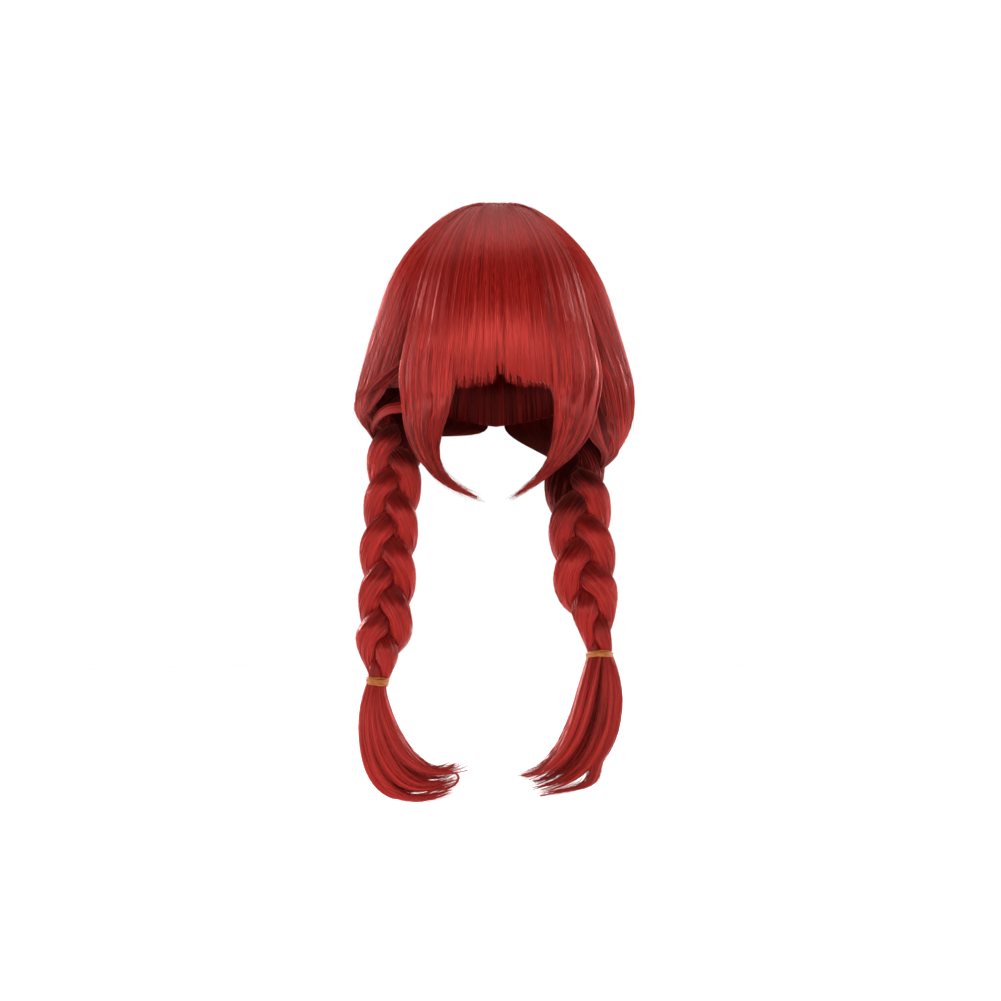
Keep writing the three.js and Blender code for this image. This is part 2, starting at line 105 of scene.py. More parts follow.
def tubeBatch(rings, flowAcross, flowDown, tone, normals=None):
    # Quads join each ring to the next, and a triangle or a strip of quads closes each end ring. The volume is
    # the sum over the quads of a corner times the cross products of the others: if negative, all turn round
    look = meshLook
    count, rows, sides = rings.shape[:3]
    grid = np.meshgrid(np.arange(count), np.arange(rows - 1), np.arange(sides), indexing="ij")
    t, i, j = (axis.ravel() for axis in grid)
    quads = [np.stack([t] * 4, 1), np.stack([i, i, i + 1, i + 1], 1), np.stack([j, j + 1, j + 1, j], 1)]
    corners = [np.stack(quads)]
    if sides % 2:
        caps = [(np.array([[0, 2, 1]]), 0), (np.array([[0, 1, 2]]), rows - 1)]
    else:
        k = np.arange(sides // 2 - 1)[:, None]
        strip = np.concatenate([k + 1, k, sides - 1 - k, sides - 2 - k], 1)
        caps = [(strip, 0), (strip[:, ::-1], rows - 1)]
    for cap, row in caps:
        tile = np.tile(cap, (count, 1))
        owner = np.repeat(np.arange(count), len(cap))[:, None] + 0 * tile
        corners.append(np.stack([owner, np.full_like(tile, row), tile]))
    full = (count, rows, sides + 1)
    flow = np.stack([np.broadcast_to(flowAcross, full), np.broadcast_to(flowDown, full)], -1)
    faces = []
    for t, i, j in corners:
        index = (t * rows + i) * sides + j % sides
        bakeAcross = (t + mix(look["bakeSide"], 1 - look["bakeSide"], j / sides)) / count
        bakeDown = mix(look["bakeEnd"], 1 - look["bakeEnd"], i / (rows - 1))
        faces.append([index, flow[t, i, j], np.stack([bakeAcross, bakeDown], -1)])
    points = rings.reshape(-1, 3)
    p = points[faces[0][0]]
    volume = np.einsum("ij,ij", p[:, 0], np.cross(p[:, 1], p[:, 2]) + np.cross(p[:, 2], p[:, 3]))
    if volume < 0:
        faces = [[part[:, ::-1] for part in face] for face in faces]
    facing = np.zeros_like(points) if normals is None else normals.reshape(-1, 3)
    tone = np.broadcast_to(tone, rings.shape[:3]).ravel()
    return {"points": points, "faces": faces, "tone": tone, "facing": facing}


def sheetBody(outer, inner, across, down, outerTone, innerTone):
    # Closed sheet: each ring, and its flow, goes across the outer face and back along the inner one
    rings = np.concatenate([outer, inner[:, ::-1]], 1)[None]
    flowAcross = np.concatenate([across, across[::-1], across[:1]])[None, None]
    # The inner face's tone, darker in every use, is painted shade on the face turned in
    tone = np.concatenate(np.broadcast_arrays(outerTone, innerTone), 1)[None]
    return tubeBatch(rings, flowAcross, down[None, :, None], tone)


def makePiece(name, node, finish, bodies, axle=0.0):
    # One mesh of all the bodies, in metres. Each body's strip of the bake map is as high as the square root
    # of its number of points. axle is the y, in metres, of the upright line that the gloss is stretched round
    look = meshLook
    mesh = bpy.data.meshes.new(name)
    mesh.use_auto_texspace = False
    mesh.texspace_location = (0, axle, 0)
    mesh.texspace_size = (1, 1, 1)
    points = np.concatenate([body["points"] for body in bodies]) * look["metresPerUnit"]
    weights = np.sqrt([len(body["points"]) for body in bodies])
    edges = np.concatenate([[0], np.cumsum(weights / weights.sum())])
    loops, flows, bakes, sizes, offset = [], [], [], [], 0
    for body, low, high in zip(bodies, edges[:-1], edges[1:]):
        margin = look["bakeBody"] * (high - low)
        for index, flow, bake in body["faces"]:
            loops.append((index + offset).ravel())
            flows.append(flow.reshape(-1, 2))
            bakes.append(bake.reshape(-1, 2) * [1, high - low - 2 * margin] + [0, low + margin])
            sizes.append(np.full(len(index), index.shape[1]))
        offset += len(body["points"])
    loops, sizes = np.concatenate(loops), np.concatenate(sizes)
    mesh.vertices.add(len(points))
    mesh.vertices.foreach_set("co", points.astype(np.float32).ravel())
    mesh.loops.add(len(loops))
    mesh.loops.foreach_set("vertex_index", loops.astype(np.int32))
    mesh.polygons.add(len(sizes))
    mesh.polygons.foreach_set("loop_start", (np.cumsum(sizes) - sizes).astype(np.int32))
    mesh.polygons.foreach_set("use_smooth", np.ones(len(sizes), bool))
    mesh.update(calc_edges=True)
    for mapName, values in (("OFBake", bakes), ("flow", flows)):
        layer = mesh.uv_layers.new(name=mapName)
        layer.data.foreach_set("uv", np.concatenate(values).astype(np.float32).ravel())
    tone = mesh.attributes.new("tone", "FLOAT", "POINT")
    tone.data.foreach_set("value", np.concatenate([body["tone"] for body in bodies]).astype(np.float32))
    mesh.set_sharp_from_angle(angle=math.radians(look["crease"]))
    facing = np.concatenate([body["facing"] for body in bodies])
    if facing.any():
        mesh.normals_split_custom_set_from_vertices(facing)
    mesh.materials.append(finish)
    piece = bpy.data.objects.new(name, mesh)
    bpy.context.scene.collection.objects.link(piece)
    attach(piece, "root")
    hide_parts(node)
    print(name, "made,", int((sizes - 2).sum()), "triangles")


fibreLook = {
    "corners": (90, 210, 330), "flat": 0.7, "uneven": (0.7, 1.25),
    "root": 0.15, "fullAt": 0.15, "thinFrom": 0.55,
    "lean": 0.05, "roll": 0.13, "roundness": 0.7, "tipTone": 0.08, "flowSpread": 40,
}


def hairTubes(paths, out, width, across, toneRange, tipShare, lay=1.0, shade=0.0):
    # Three-sided hairs: path plus radius times a line across it. The radius swells from the root and thins to
    # tipShare. The shading's normal blends that line with out, leant along and rolled across by a random
    # little; lay is out's share of it
    look = fibreLook
    count, steps = paths.shape[:2]
    run = unit(np.gradient(paths, axis=1))
    side = unit(np.cross(run, out))
    up = np.cross(side, run)
    t = np.linspace(0, 1, steps)
    body = width * mix(look["root"], 1, smooth(0, look["fullAt"], t))
    body = body * mix(1, tipShare, smooth(look["thinFrom"], 1, t))
    radius = body[None] * rng.uniform(*look["uneven"], (count, 1))
    turns = np.radians(look["corners"])
    away = np.cos(turns)[:, None] * side[:, :, None] + look["flat"] * np.sin(turns)[:, None] * up[:, :, None]
    rings = paths[:, :, None] + radius[..., None, None] * away
    sizes = np.array([look["lean"], look["roll"]])[:, None, None, None]
    lean, roll = rng.normal(0, 1, (2, count, 1, 1)) * sizes
    laid = up + lean * run + roll * side
    normals = unit((1 - look["roundness"] * lay) * away + lay * laid[:, :, None])
    tone = rng.uniform(*toneRange, (count, 1, 1)) + look["tipTone"] * t[None, :, None]
    tone = tone - np.broadcast_to(shade, (count, steps))[..., None]
    start = across[:, None, None] + look["flowSpread"] * rng.uniform(0, 1, (count, 1, 1))
    return tubeBatch(rings, start, t[None, :, None], tone, normals)


# Shader maths: a socket that takes part in Python expressions

class Wire:
    def __init__(self, tree, socket=None):  # a socket and the tree it is in
        self.tree = tree
        self.socket = socket

    def node(self, kind, settings=None, sockets=None, out=0):
        # Any node: its settings, then a wire or value per socket
        made = self.tree.nodes.new(kind)
        for key, value in (settings or {}).items():
            if key == "stops":
                while len(made.color_ramp.elements) < len(value):
                    made.color_ramp.elements.new(0.5)
                for element, (place, colour) in zip(made.color_ramp.elements, value):
                    element.position = place
                    element.color = (*colour, 1)
            else:
                setattr(made, key, value)
        for key, value in (sockets or {}).items():
            if isinstance(value, Wire):
                self.tree.links.new(value.socket, made.inputs[key])
            else:
                made.inputs[key].default_value = value
        return None if out is None else Wire(self.tree, made.outputs[out])

    def pick(self, out):  # another output of the same node
        return Wire(self.tree, self.socket.node.outputs[out])

    def maths(self, operation, first, second):  # first and second, joined by one operation
        return self.node("ShaderNodeMath", {"operation": operation}, {0: first, 1: second})

    def __add__(self, other):  # wire plus other
        return self.maths("ADD", self, other)

    def __radd__(self, other):  # other plus wire
        return self.maths("ADD", other, self)

    def __sub__(self, other):  # wire less other
        return self.maths("SUBTRACT", self, other)

    def __rsub__(self, other):  # other less wire
        return self.maths("SUBTRACT", other, self)

    def __mul__(self, other):  # wire times other
        return self.maths("MULTIPLY", self, other)

    def __rmul__(self, other):  # other times wire
        return self.maths("MULTIPLY", other, self)


def blankNodes(owner):  # empties the nodes of a material or world and gives a wire to begin from
    owner.use_nodes = True
    owner.node_tree.nodes.clear()
    return Wire(owner.node_tree)


def dress(start, sockets):  # the surface shader with these sockets, joined to the output
    shader = start.node("ShaderNodeBsdfPrincipled", {}, sockets)
    start.node("ShaderNodeOutputMaterial", {}, {"Surface": shader}, None)


hairLook = {
    "deep": (0.02, 0.0006, 0.0006), "dark": (0.15, 0.003, 0.003),
    "red": (0.27, 0.008, 0.006), "light": (0.42, 0.022, 0.017), "stops": (0.02, 0.34, 0.58, 0.95),
    # Streaks of three widths: how many per mm across and per length down, and detail
    "fine": (2.2, 3.0, 2.0), "middle": (0.85, 2.0, 1.0), "broad": (0.16, 1.6, 1.0),
    "noise": 0.6, "shares": (1.1, 0.65, 0.5), "streak": 0.9, "tone": 0.7,
    "bump": 0.45, "bumpDepth": 0.0005, "bumpMiddle": 0.7, "hiddenBelow": 0.15, "hiddenRough": 1.5,
    "roughness": 0.4, "grain": 0.1, "gloss": 0.85, "tint": (1, 0.22, 0.19, 1), "stretch": 0.85, "metal": 0.2,
    "edge": 0.28, "edgeTint": (1, 0.16, 0.13, 1), "edgeWidth": 0.5,
}


def hairFinish(name, look):
    # Place on the ramp of colours: a half, plus noise drawn out along the hair in three widths, plus the
    # hair's tone, which is its own with painted shade and painted light added. Hair in the hollows, where the
    # tone holds painted shade, is dull, by as much as its tone is below a limit
    material = bpy.data.materials.new(name)
    start = blankNodes(material)
    across = start.node("ShaderNodeSeparateXYZ", {}, {0: start.node("ShaderNodeUVMap", {"uv_map": "flow"})})
    down = across.pick(1)

    def streaks(perMillimetre, perLength, detail):  # noise at the flow map's place, scaled across and down
        place = start.node("ShaderNodeCombineXYZ", {}, {0: across * perMillimetre, 1: down * perLength})
        return start.node("ShaderNodeTexNoise", {"noise_dimensions": "2D"},
                          {"Vector": place, "Scale": 1.0, "Detail": detail, "Roughness": look["noise"]})

    fine, middle, broad = (streaks(*look[width]) for width in ("fine", "middle", "broad"))
    fineShare, middleShare, broadShare = look["shares"]
    tone = start.node("ShaderNodeAttribute", {"attribute_name": "tone"}, out=2)
    streak = (fine - 0.5) * fineShare + (middle - 0.5) * middleShare + (broad - 0.5) * broadShare
    value = 0.5 + streak * look["streak"] + (tone - 0.5) * look["tone"]
    stops = list(zip(look["stops"], (look[key] for key in ("deep", "dark", "red", "light"))))
    colour = start.node("ShaderNodeValToRGB", {"stops": stops}, {0: value})
    height = fine + look["bumpMiddle"] * middle
    bump = start.node("ShaderNodeBump", {}, {
        "Strength": look["bump"], "Distance": look["bumpDepth"], "Height": height})
    hidden = start.maths("MAXIMUM", look["hiddenBelow"] - tone, 0.0)
    rough = look["roughness"] + look["grain"] * (fine - 0.5) * 2 + look["hiddenRough"] * hidden
    dress(start, {
        "Base Color": colour, "Roughness": rough, "Metallic": look["metal"] + hidden, "Normal": bump,
        "Specular IOR Level": look["gloss"], "Specular Tint": look["tint"], "Anisotropic": look["stretch"],
        "Sheen Weight": look["edge"], "Sheen Tint": look["edgeTint"], "Sheen Roughness": look["edgeWidth"]})
    return material


redHair = hairFinish("redHair", hairLook)
braidHair = hairFinish("braidHair", {**hairLook, "stretch": 0.2, "streak": 0.75})
print("hair finish made")


# The head that the hair follows, from the whorl down

headLook = {
    "stations": np.array([  # z, side, front and back of the hair, then of the hollow
        [9.4, 0, 0, 0, 0, 0, 0, 0],
        [9.8, 16, 17, 18, -1, 13, 14, 14],
        [5, 31, 34, 37, -4, 27, 30, 31],
        [-6, 48, 56, 60, -13, 43, 48, 51],
        [-20, 62.5, 74, 78, -25, 55, 61, 65],
        [-36, 75, 89, 93, -40, 65, 74, 79],
        [-58, 86.5, 100, 107, -60, 72.5, 84, 92],
        [-84, 95, 105, 113, -84, 76, 90, 98],
        [-110, 103, 106, 113, -110, 78, 92, 98],
        [-135, 109, 104, 107, -135, 82, 90, 92],
        [-165, 111, 100, 97, -165, 86, 86, 82],
    ], float),
    "top": 0.1, "middle": (0, 0, -90), "flowPerDegree": 1.75,
    "rimAngles": [0, 30, 34, 40, 52, 66, 90, 135, 180],
    "rimHeights": [-52, -56, -112, -118, -127, -138, -132, -148, -163],
    "fringeSpan": (-17.5, 23.5), "curtainSpan": (-42.5, 49.0),
    "curtainTop": 1.25, "curtainGrows": (1.5, 6), "curtainThickness": (3, 7.5), "curtainRises": (-1.8, 0.3),
    "locks": (  # how many round the head, and their height
        (13, 0.24), (19, 0.27), (29, 0.32), (41, 0.32), (59, 0.34),
        (83, 0.28), (113, 0.22), (149, 0.17), (191, 0.12)),
    "lockBend": 0.9, "lockLength": 42, "reliefGrows": (0.4, 2.2),
    "partings": ((23, 0.4), (37, 2.0), (61, 4.1)),  # how many round the head, and where they start
    "partingFrom": 0.2, "partingMost": 1.6, "partingShade": 0.26, "partingEnds": (1.5, 4.3),
}
headStations = headLook["stations"]
fringeSpan, curtainSpan = headLook["fringeSpan"], headLook["curtainSpan"]
lockWaves = [(count, height, rng.uniform(*anyPhase), rng.uniform(*anyPhase))
             for count, height in headLook["locks"]]


def ellipsePoint(angle, side, front, back, z):
    # A point round the head, 0 degrees at the face: x is side times the sine, y is minus front or back times
    # the cosine
    turn = np.radians(angle)
    return np.stack([side * np.sin(turn), -np.where(np.cos(turn) > 0, front, back) * np.cos(turn), z], -1)


def headFaces(angle, station):  # points on the ellipses of the hair's outer face and of the hollow
    z, side, front, back, *hollow = np.moveaxis(along(headStations, station), -1, 0)
    return ellipsePoint(angle, side, front, back, z), ellipsePoint(angle, *hollow[1:], hollow[0])


def headPoint(angle, station, lift):  # the outer face, plus lift along the line to it from the hollow
    angle, station, lift = np.broadcast_arrays(angle * 1.0, station * 1.0, lift)
    outer, inner = headFaces(angle, station)
    return outer + unit(outer - inner) * lift[..., None]


def outward(points):  # unit line from the middle of the head
    return unit(points - headLook["middle"])


def stationAt(z):  # the station whose outer face is at that height, straight between the table's rows
    return np.interp(-z, -headStations[1:, 0], np.arange(1, len(headStations)))


def stationHeight(station):  # height of the outer face, on the curve through the table's rows
    return along(headStations[:, 0], station * 1.0)


def rimStation(angle):  # the station at the rim's height, straight between the angles that are given
    return stationAt(np.interp(np.abs(angle), headLook["rimAngles"], headLook["rimHeights"]))


def relief(angle, z):  # rounded locks: the sum of ridges round the head, each bent by a sine of the height
    total = 0
    for count, height, phase, drift in lockWaves:
        bend = headLook["lockBend"] * np.sin(z / headLook["lockLength"] + drift)
        total = total + height * ridges((count * np.radians(angle) + phase + bend) / 2)
    return total


def headRelief(angle, station):  # the relief at the station's height, eased in below the whorl
    return relief(angle, stationHeight(station)) * smooth(*headLook["reliefGrows"], station)


def partingShadeStreaks(angle, station):
    # Painted shade in the partings out from the whorl: the crests of a sum of three sines, eased out
    look = headLook
    wave = sum(np.sin(count * np.radians(angle) + phase) for count, phase in look["partings"])
    crest = np.clip(wave - look["partingFrom"], 0, look["partingMost"])
    return look["partingShade"] * crest * (1 - smooth(*look["partingEnds"], station))


def curtainThickness(station):  # eased from its thickness at the top to that of the full curtain
    return mix(*headLook["curtainThickness"], smooth(*headLook["curtainGrows"], station))


def curtainEdge(angle):  # degrees outside the curtain of fringe and side locks, less than 0 within it
    return np.maximum(curtainSpan[0] - angle, angle - curtainSpan[1])


# Crown

crownLook = {
    "columns": 560, "rows": 46, "innerEvery": 6, "fade": 0.85,
    # How far the hair drifts round, and from which angle on over how many degrees
    "sweep": 24, "sweepSpan": (38, 62), "backSweep": 20, "backSpan": (95, 85),
    "underEdge": 0.5, "underGrows": (1.55, 1.95), "underGap": 1.5,
    "beside": 6, "besideEdge": 5, "besideGrows": (5.5, 8.7),
    "rimSink": 0.7, "rimSinks": (0.95, 1), "ripple": 0.9, "rippleGrows": (0.2, 0.5),
    "tone": 0.5, "innerTone": 0.0, "hollowTone": 0.85, "hollowEdge": (0.5, 4.5), "hollowGrows": (6.6, 8.6),
    "rimTone": 0.36, "rimFrom": 0.6, "rimSpan": (36, 44, 95, 125), "leftShade": 0.7, "leftShadeFrom": 0.97,
    "hairs": 1400, "hairSteps": 16, "hairWidth": 0.32,
    "hairTones": (0.25, 0.9), "hairTip": 0.5, "hairSway": 0.45,
    "hairLift": (0.05, 0.5), "hairHollow": 0.6, "hairStart": (0.0, 0.35),
    "hairEnd": (0.82, 1.0), "hairSinks": 0.85,
    "flyaways": 90, "flyWidth": 0.11, "flyTones": (0.4, 0.8),
    "flyTip": 0.3, "flyRise": (0.3, 2.2), "flyTurn": 4,
    "flyStart": (0.1, 0.75), "flyLength": (0.12, 0.3),
}


def crownAngle(u, share):
    # Side hair starts nearer the face at the whorl, back hair further round: u plus a drift, half a sine over
    # each span, that fades towards the rim
    look = crownLook
    back, side = (np.sin(math.pi * np.clip((np.abs(u) - start) / length, 0, 1))
                  for start, length in (look["backSpan"], look["sweepSpan"]))
    drift = look["backSweep"] * back - look["sweep"] * side
    return u + np.sign(u) * drift * np.maximum(1 - share, 0) ** look["fade"]


def crownStation(u, share):  # straight from the whorl to the rim
    return mix(headLook["top"], rimStation(u), share)


def crownPoint(u, share, lift):
    # The head's face, raised by the relief and lift, sunk by the curtain's thickness under the curtain
    # or into a hollow beside it, whichever is deeper
    look = crownLook
    angle = crownAngle(u, share)
    station = crownStation(u, share)
    edge = curtainEdge(angle)
    under = (1 - smooth(-look["underEdge"], look["underEdge"], edge)) * smooth(*look["underGrows"], station)
    under = under * (curtainThickness(station) + look["underGap"])
    near = 1 - smooth(0, look["besideEdge"], edge)
    beside = look["beside"] * near * smooth(*look["besideGrows"], station)
    return headPoint(angle, station, headRelief(u, station) + lift - np.maximum(under, beside))


def hollowShade(angle, station):  # painted shade in the hollow behind each lock, 1 next to it and low down
    near = 1 - smooth(*crownLook["hollowEdge"], curtainEdge(angle))
    return near * smooth(*crownLook["hollowGrows"], station)


def rimShade(u, share):
    # Painted shade towards the rim, eased in and out round each side, where the hair turns in to the braids
    inFrom, inTo, outFrom, outTo = crownLook["rimSpan"]
    sides = smooth(inFrom, inTo, np.abs(u)) * (1 - smooth(outFrom, outTo, np.abs(u)))
    return crownLook["rimTone"] * smooth(crownLook["rimFrom"], 1, share) * sides


def crownBody():
    # Rings round the head: the outer face down to the rim, then the hollow's rippled face back up
    look = crownLook
    u = np.linspace(-180, 180, look["columns"], endpoint=False)[None]
    share = np.linspace(0, 1, look["rows"])[:, None]
    back = share[::-look["innerEvery"]]
    outer = crownPoint(u, share, -look["rimSink"] * smooth(*look["rimSinks"], share))
    inner = headFaces(u + 0 * back, crownStation(u, back))[1]
    ripple = look["ripple"] * (relief(3 * u + 40, inner[..., 2]) * smooth(*look["rippleGrows"], back))
    inner = inner + ripple[..., None] * outward(inner)
    rings = np.concatenate([outer, inner])[None]
    flowAcross = np.append(u, 180)[None, None] * headLook["flowPerDegree"]
    flowDown = np.linspace(0, 1.2, rings.shape[1])[None, :, None]
    station = crownStation(u, share)
    # Tone less painted shade: in the hollow beside each lock, in the partings and towards the rim
    tone = look["tone"] - look["hollowTone"] * hollowShade(crownAngle(u, share), station)
    tone = tone - partingShadeStreaks(u, station) - rimShade(u, share)
    # Painted shade on the left rim, which lies in shade
    tone = tone - look["leftShade"] * (u < 0) * smooth(look["leftShadeFrom"], 1, share)
    # The hollow's face is darker: the cap's own darker colour inside the wig, and painted shade there
    tone = np.concatenate([tone, np.full(inner.shape[:2], look["innerTone"])])[None]
    return tubeBatch(rings, flowAcross, flowDown, tone)


def backAngles(margin, size):
    # Random angles from one edge of the curtain round the back to the other, in 0 to 360
    return rng.uniform(curtainSpan[1] + margin, 360 + curtainSpan[0] - margin, size)


def halfTurns(angle):  # the same angle between -180 and 180
    return np.where(angle > 180, angle - 360, angle)


def crownHairs():
    # Laid hairs run straight down the crown's face from near the whorl to the rim, with a little sway and
    # lift. Flyaways stand off it by the square of half a sine along them
    look = crownLook
    count, steps = look["hairs"], look["hairSteps"]
    u = halfTurns(np.sort(backAngles(-1, count)))
    t = np.linspace(0, 1, steps)[None]
    share = mix(rng.uniform(*look["hairStart"], (count, 1)), rng.uniform(*look["hairEnd"], (count, 1)), t)
    wander = u[:, None] + look["hairSway"] * sway(count, steps)
    lift = rng.uniform(*look["hairLift"], (count, 1)) - 0.5 * smooth(look["hairSinks"], 1, t)
    paths = crownPoint(wander, share, lift)
    station = crownStation(wander, share)
    # Painted shade on the laid hairs: in the hollow beside each lock, towards the rim and in the partings
    shade = look["hairHollow"] * hollowShade(crownAngle(wander, share), station) + rimShade(wander, share)
    shade = shade + partingShadeStreaks(wander, station)
    laid = hairTubes(paths, outward(paths), look["hairWidth"], u * headLook["flowPerDegree"],
                     look["hairTones"], look["hairTip"], 1.0, shade)
    count = look["flyaways"]
    u = halfTurns(backAngles(4, (count, 1)))
    share = rng.uniform(*look["flyStart"], (count, 1)) + rng.uniform(*look["flyLength"], (count, 1)) * t
    rise = 0.1 + rng.uniform(*look["flyRise"], (count, 1)) * np.sin(math.pi * t) ** 2
    paths = crownPoint(u + rng.normal(0, look["flyTurn"], (count, 1)) * t**2, share, rise)
    loose = hairTubes(paths, outward(paths), look["flyWidth"], u[:, 0] * headLook["flowPerDegree"],
                      look["flyTones"], look["flyTip"])
    return [laid, loose]


# Paths of the braids, which the bunches run into

braidLooks = {
    "left": {
        "path": [[-79.5, -4, -182], [-81.5, -22, -222], [-84, -38, -264],
                 [-85, -50, -306], [-89, -56, -340], [-91.5, -58, -366]],
        "halfWidth": 21.5, "halfDepth": 15.5, "waist": 7.6,
        "taperFrom": 0.8, "period": 115, "firstLobe": 35.5,
        "bellow": (0.3, 0.52, 0.15), "opening": -5, "sheetEnd": -2, "rise": 54,
        "edge": [[-79.5, -68, -134.5], [-89, -52, -145], [-98, -35, -154.5],
                 [-102, -18, -163], [-98.5, -7, -175]],
        # rootShade to rootFade: painted shade near the root, where the strands come out from under the bunch
        # and lock
        "rootShade": 30, "rootDark": 0.4, "rootSpan": (-12, 14), "rootFade": 0.12,
        "bandHeight": 8.4, "bandTilt": 1.0, "bandArch": 1.0, "bandDrop": 0.0, "flowStart": 500,
    },
    "right": {
        "path": [[62, -6, -200], [65.5, -22, -233], [67.8, -37, -266],
                 [71, -47, -295], [77.5, -53, -321], [80, -57, -344.5]],
        "halfWidth": 24.5, "halfDepth": 17, "waist": 9.2, "taperFrom": 0.62, "period": 122, "firstLobe": 37,
        "bellow": (0.6, 0.68, 0.15), "opening": -5, "sheetEnd": 3, "rise": 36,
        "edge": [[65, -66, -158], [74, -45, -177], [83.5, -28, -188], [84.5, -14, -196.5], [81, -6, -203]],
        # rootShade to rootFade: painted shade near the root, where the strands come out from under the bunch
        # and lock
        "rootShade": 85, "rootDark": 0.5, "rootSpan": (8, 40), "rootFade": 0.3,
        "bandHeight": 6.5, "bandTilt": 0.2, "bandArch": 1.6, "bandDrop": 1.7, "flowStart": 800,
    },
}


def braidAxis(name):
    # The curve through the path's points, its length so far, and its frame: down the curve, across it as
    # level as can be, and front, down crossed with across
    path = np.array(braidLooks[name]["path"], float)
    points = along(path, np.linspace(0, len(path) - 1, 400))
    lengths = np.concatenate([[0], np.cumsum(np.linalg.norm(np.diff(points, axis=0), axis=1))])
    down = unit(np.gradient(points, axis=0))
    width = unit(np.array([1.0, 0, 0]) - down[:, :1] * down)
    front = np.cross(down, width)
    return {"points": points, "lengths": lengths, "down": down, "width": width, "front": front}


axes = {name: braidAxis(name) for name in braidLooks}
braidLengths = {name: axis["lengths"][-1] for name, axis in axes.items()}


def axisAt(name, distance):
    # Centre, down, width and front of the braid at distances from its root, straight between the curve's
    # points; above the root the centre goes on along the first direction
    axis = axes[name]
    tables = (axis[key] for key in ("points", "down", "width", "front"))
    centre, *frames = (
        np.stack([np.interp(distance, axis["lengths"], table[:, k]) for k in range(3)], -1)
        for table in tables)
    return centre + np.minimum(distance, 0)[..., None] * axis["down"][0], *frames


# Bunches: hair swept from the rim into the root of a braid

bunchLook = {
    "columns": 160, "rows": 40, "depth": 14, "thinning": 0.35, "span": (37, 176), "tuck": 0.14, "end": 0.75,
    "tuckFrom": 0.86, "tuckRise": (-1.2, 0.25), "arrive": 0.18, "outerTurn": -78, "innerTurns": (200, 258),
    "edgeFades": 0.4, "wall": (1.4, 1.2, 0.6), "ripple": 0.8, "rippleGrows": 0.15,
    "flow": 210, "flowStart": 98, "tone": 0.36, "innerTone": -0.15, "edgeTone": 0.35, "edgeSpan": 0.12,
    "rootTone": 0.35, "rootFrom": 0.6, "rimTone": 0.65, "rimEnds": 0.6,
    "hairs": 460, "hairWidth": 0.32, "stepsAbove": 5,
    "stepsBelow": 13, "hairTones": (0.25, 0.72), "hairTip": 0.5,
    "hairLift": (0.05, 0.5), "hairShade": 0.3, "hairFlow": 240,
    "wisps": 26, "wispSteps": 12, "wispWidth": 0.12,
    "wispTones": (0.4, 0.8), "wispTip": 0.3, "wispRise": (1, 5),
}


def bunchFall(name, share, tuck, t, inner):
    # Four-point curve from the crown's rim to an ellipse round the braid's root: it leaves along the crown's
    # fall, by the bellow's share of its reach, and arrives along the braid
    sign = sideSign[name]
    look, braid = bunchLook, braidLooks[name]
    u = sign * mix(*look["span"], share)
    depth = look["depth"] * (1 - look["thinning"] * share) if inner else 0 * share
    rest = look["tuckRise"][1]
    start = crownPoint(u, mix(look["tuckFrom"], 1, tuck), mix(*look["tuckRise"], tuck) - depth)
    before = crownPoint(u, 0.95 * np.ones_like(share), rest - depth)
    turns = look["innerTurns"] if inner else (braid["opening"], look["outerTurn"])
    turn = np.radians(mix(*turns, share))[..., None]
    centre, down, width, front = (v[0] for v in axisAt(name, np.zeros(1)))
    oval = sign * braid["halfWidth"] * np.cos(turn) * width + braid["halfDepth"] * np.sin(turn) * front
    end = centre + look["end"] * oval + braid["sheetEnd"] * down
    reach = np.linalg.norm(end - start, axis=-1, keepdims=True)
    fall = unit((crownPoint(u, np.ones_like(share), rest - depth) - before) * [0.5, 1, 1])
    leave = fall * reach * np.interp(share, [0, 0.35, 1], braid["bellow"])[..., None]
    return fourPointCurve([start, start + leave, end - look["arrive"] * reach * down, end], t[..., None])


def bunchPoint(name, share, t, lift, inner=False):
    # A tuck under the crown's edge, then the fall. Towards share 0 the difference between the front edge's
    # own curve and the first fall is added, and the outer face is raised by the relief and lift
    sign = sideSign[name]
    look = bunchLook
    tuck = np.clip(t / look["tuck"], 0, 1)
    t = np.clip((t - look["tuck"]) / (1 - look["tuck"]), 0, 1)
    point = bunchFall(name, share, tuck, t, inner)
    first = bunchFall(name, 0 * share, 1 + 0 * t, t, inner)
    top = bunchFall(name, np.zeros(1), np.ones(1), np.zeros(1), inner)
    rows = np.array(braidLooks[name]["edge"], float)
    if inner:
        rows = rows + look["wall"] * np.array([-sign, 1, 1])
    edge = along(np.concatenate([top, rows]), len(rows) * t)
    point = point + (1 - smooth(0, look["edgeFades"], share))[..., None] * (edge - first)
    if inner:
        return point
    middle = axes[name]["points"][0] * [0.8, 1, 0.85]
    wave = relief(sign * mix(*look["span"], share), -170.0 - 40 * t) * look["ripple"]
    wave = wave * smooth(0, look["rippleGrows"], t)
    return point + unit(point - middle) * (wave + lift)[..., None]


def bunchShade(u, t):  # the rim's painted shade carried on below it, eased out down the bunch
    look = bunchLook
    return look["rimTone"] * rimShade(u, np.ones_like(t)) * (1 - smooth(look["tuck"], look["rimEnds"], t))


def bunchBody(name):  # closed sheet over share and t: painted shade at front edge, root and under rim
    look = bunchLook
    spread = np.linspace(0, 1, look["columns"])
    share, t = np.meshgrid(spread, np.linspace(0, 1, look["rows"]))
    outer = bunchPoint(name, share, t, 0.0)
    inner = bunchPoint(name, share, t, 0.0, True)
    # Painted shade at the front edge, towards the braid's root and under the rim; the inner face all in
    # painted shade
    tone = look["tone"] - look["edgeTone"] * (1 - smooth(0.0, look["edgeSpan"], share))
    tone = tone - look["rootTone"] * smooth(look["rootFrom"], 1, t) - bunchShade(mix(*look["span"], share), t)
    across, down = spread * look["flow"] + look["flowStart"], np.linspace(0.8, 1.6, look["rows"])
    return sheetBody(outer, inner, across, down, tone, look["innerTone"])


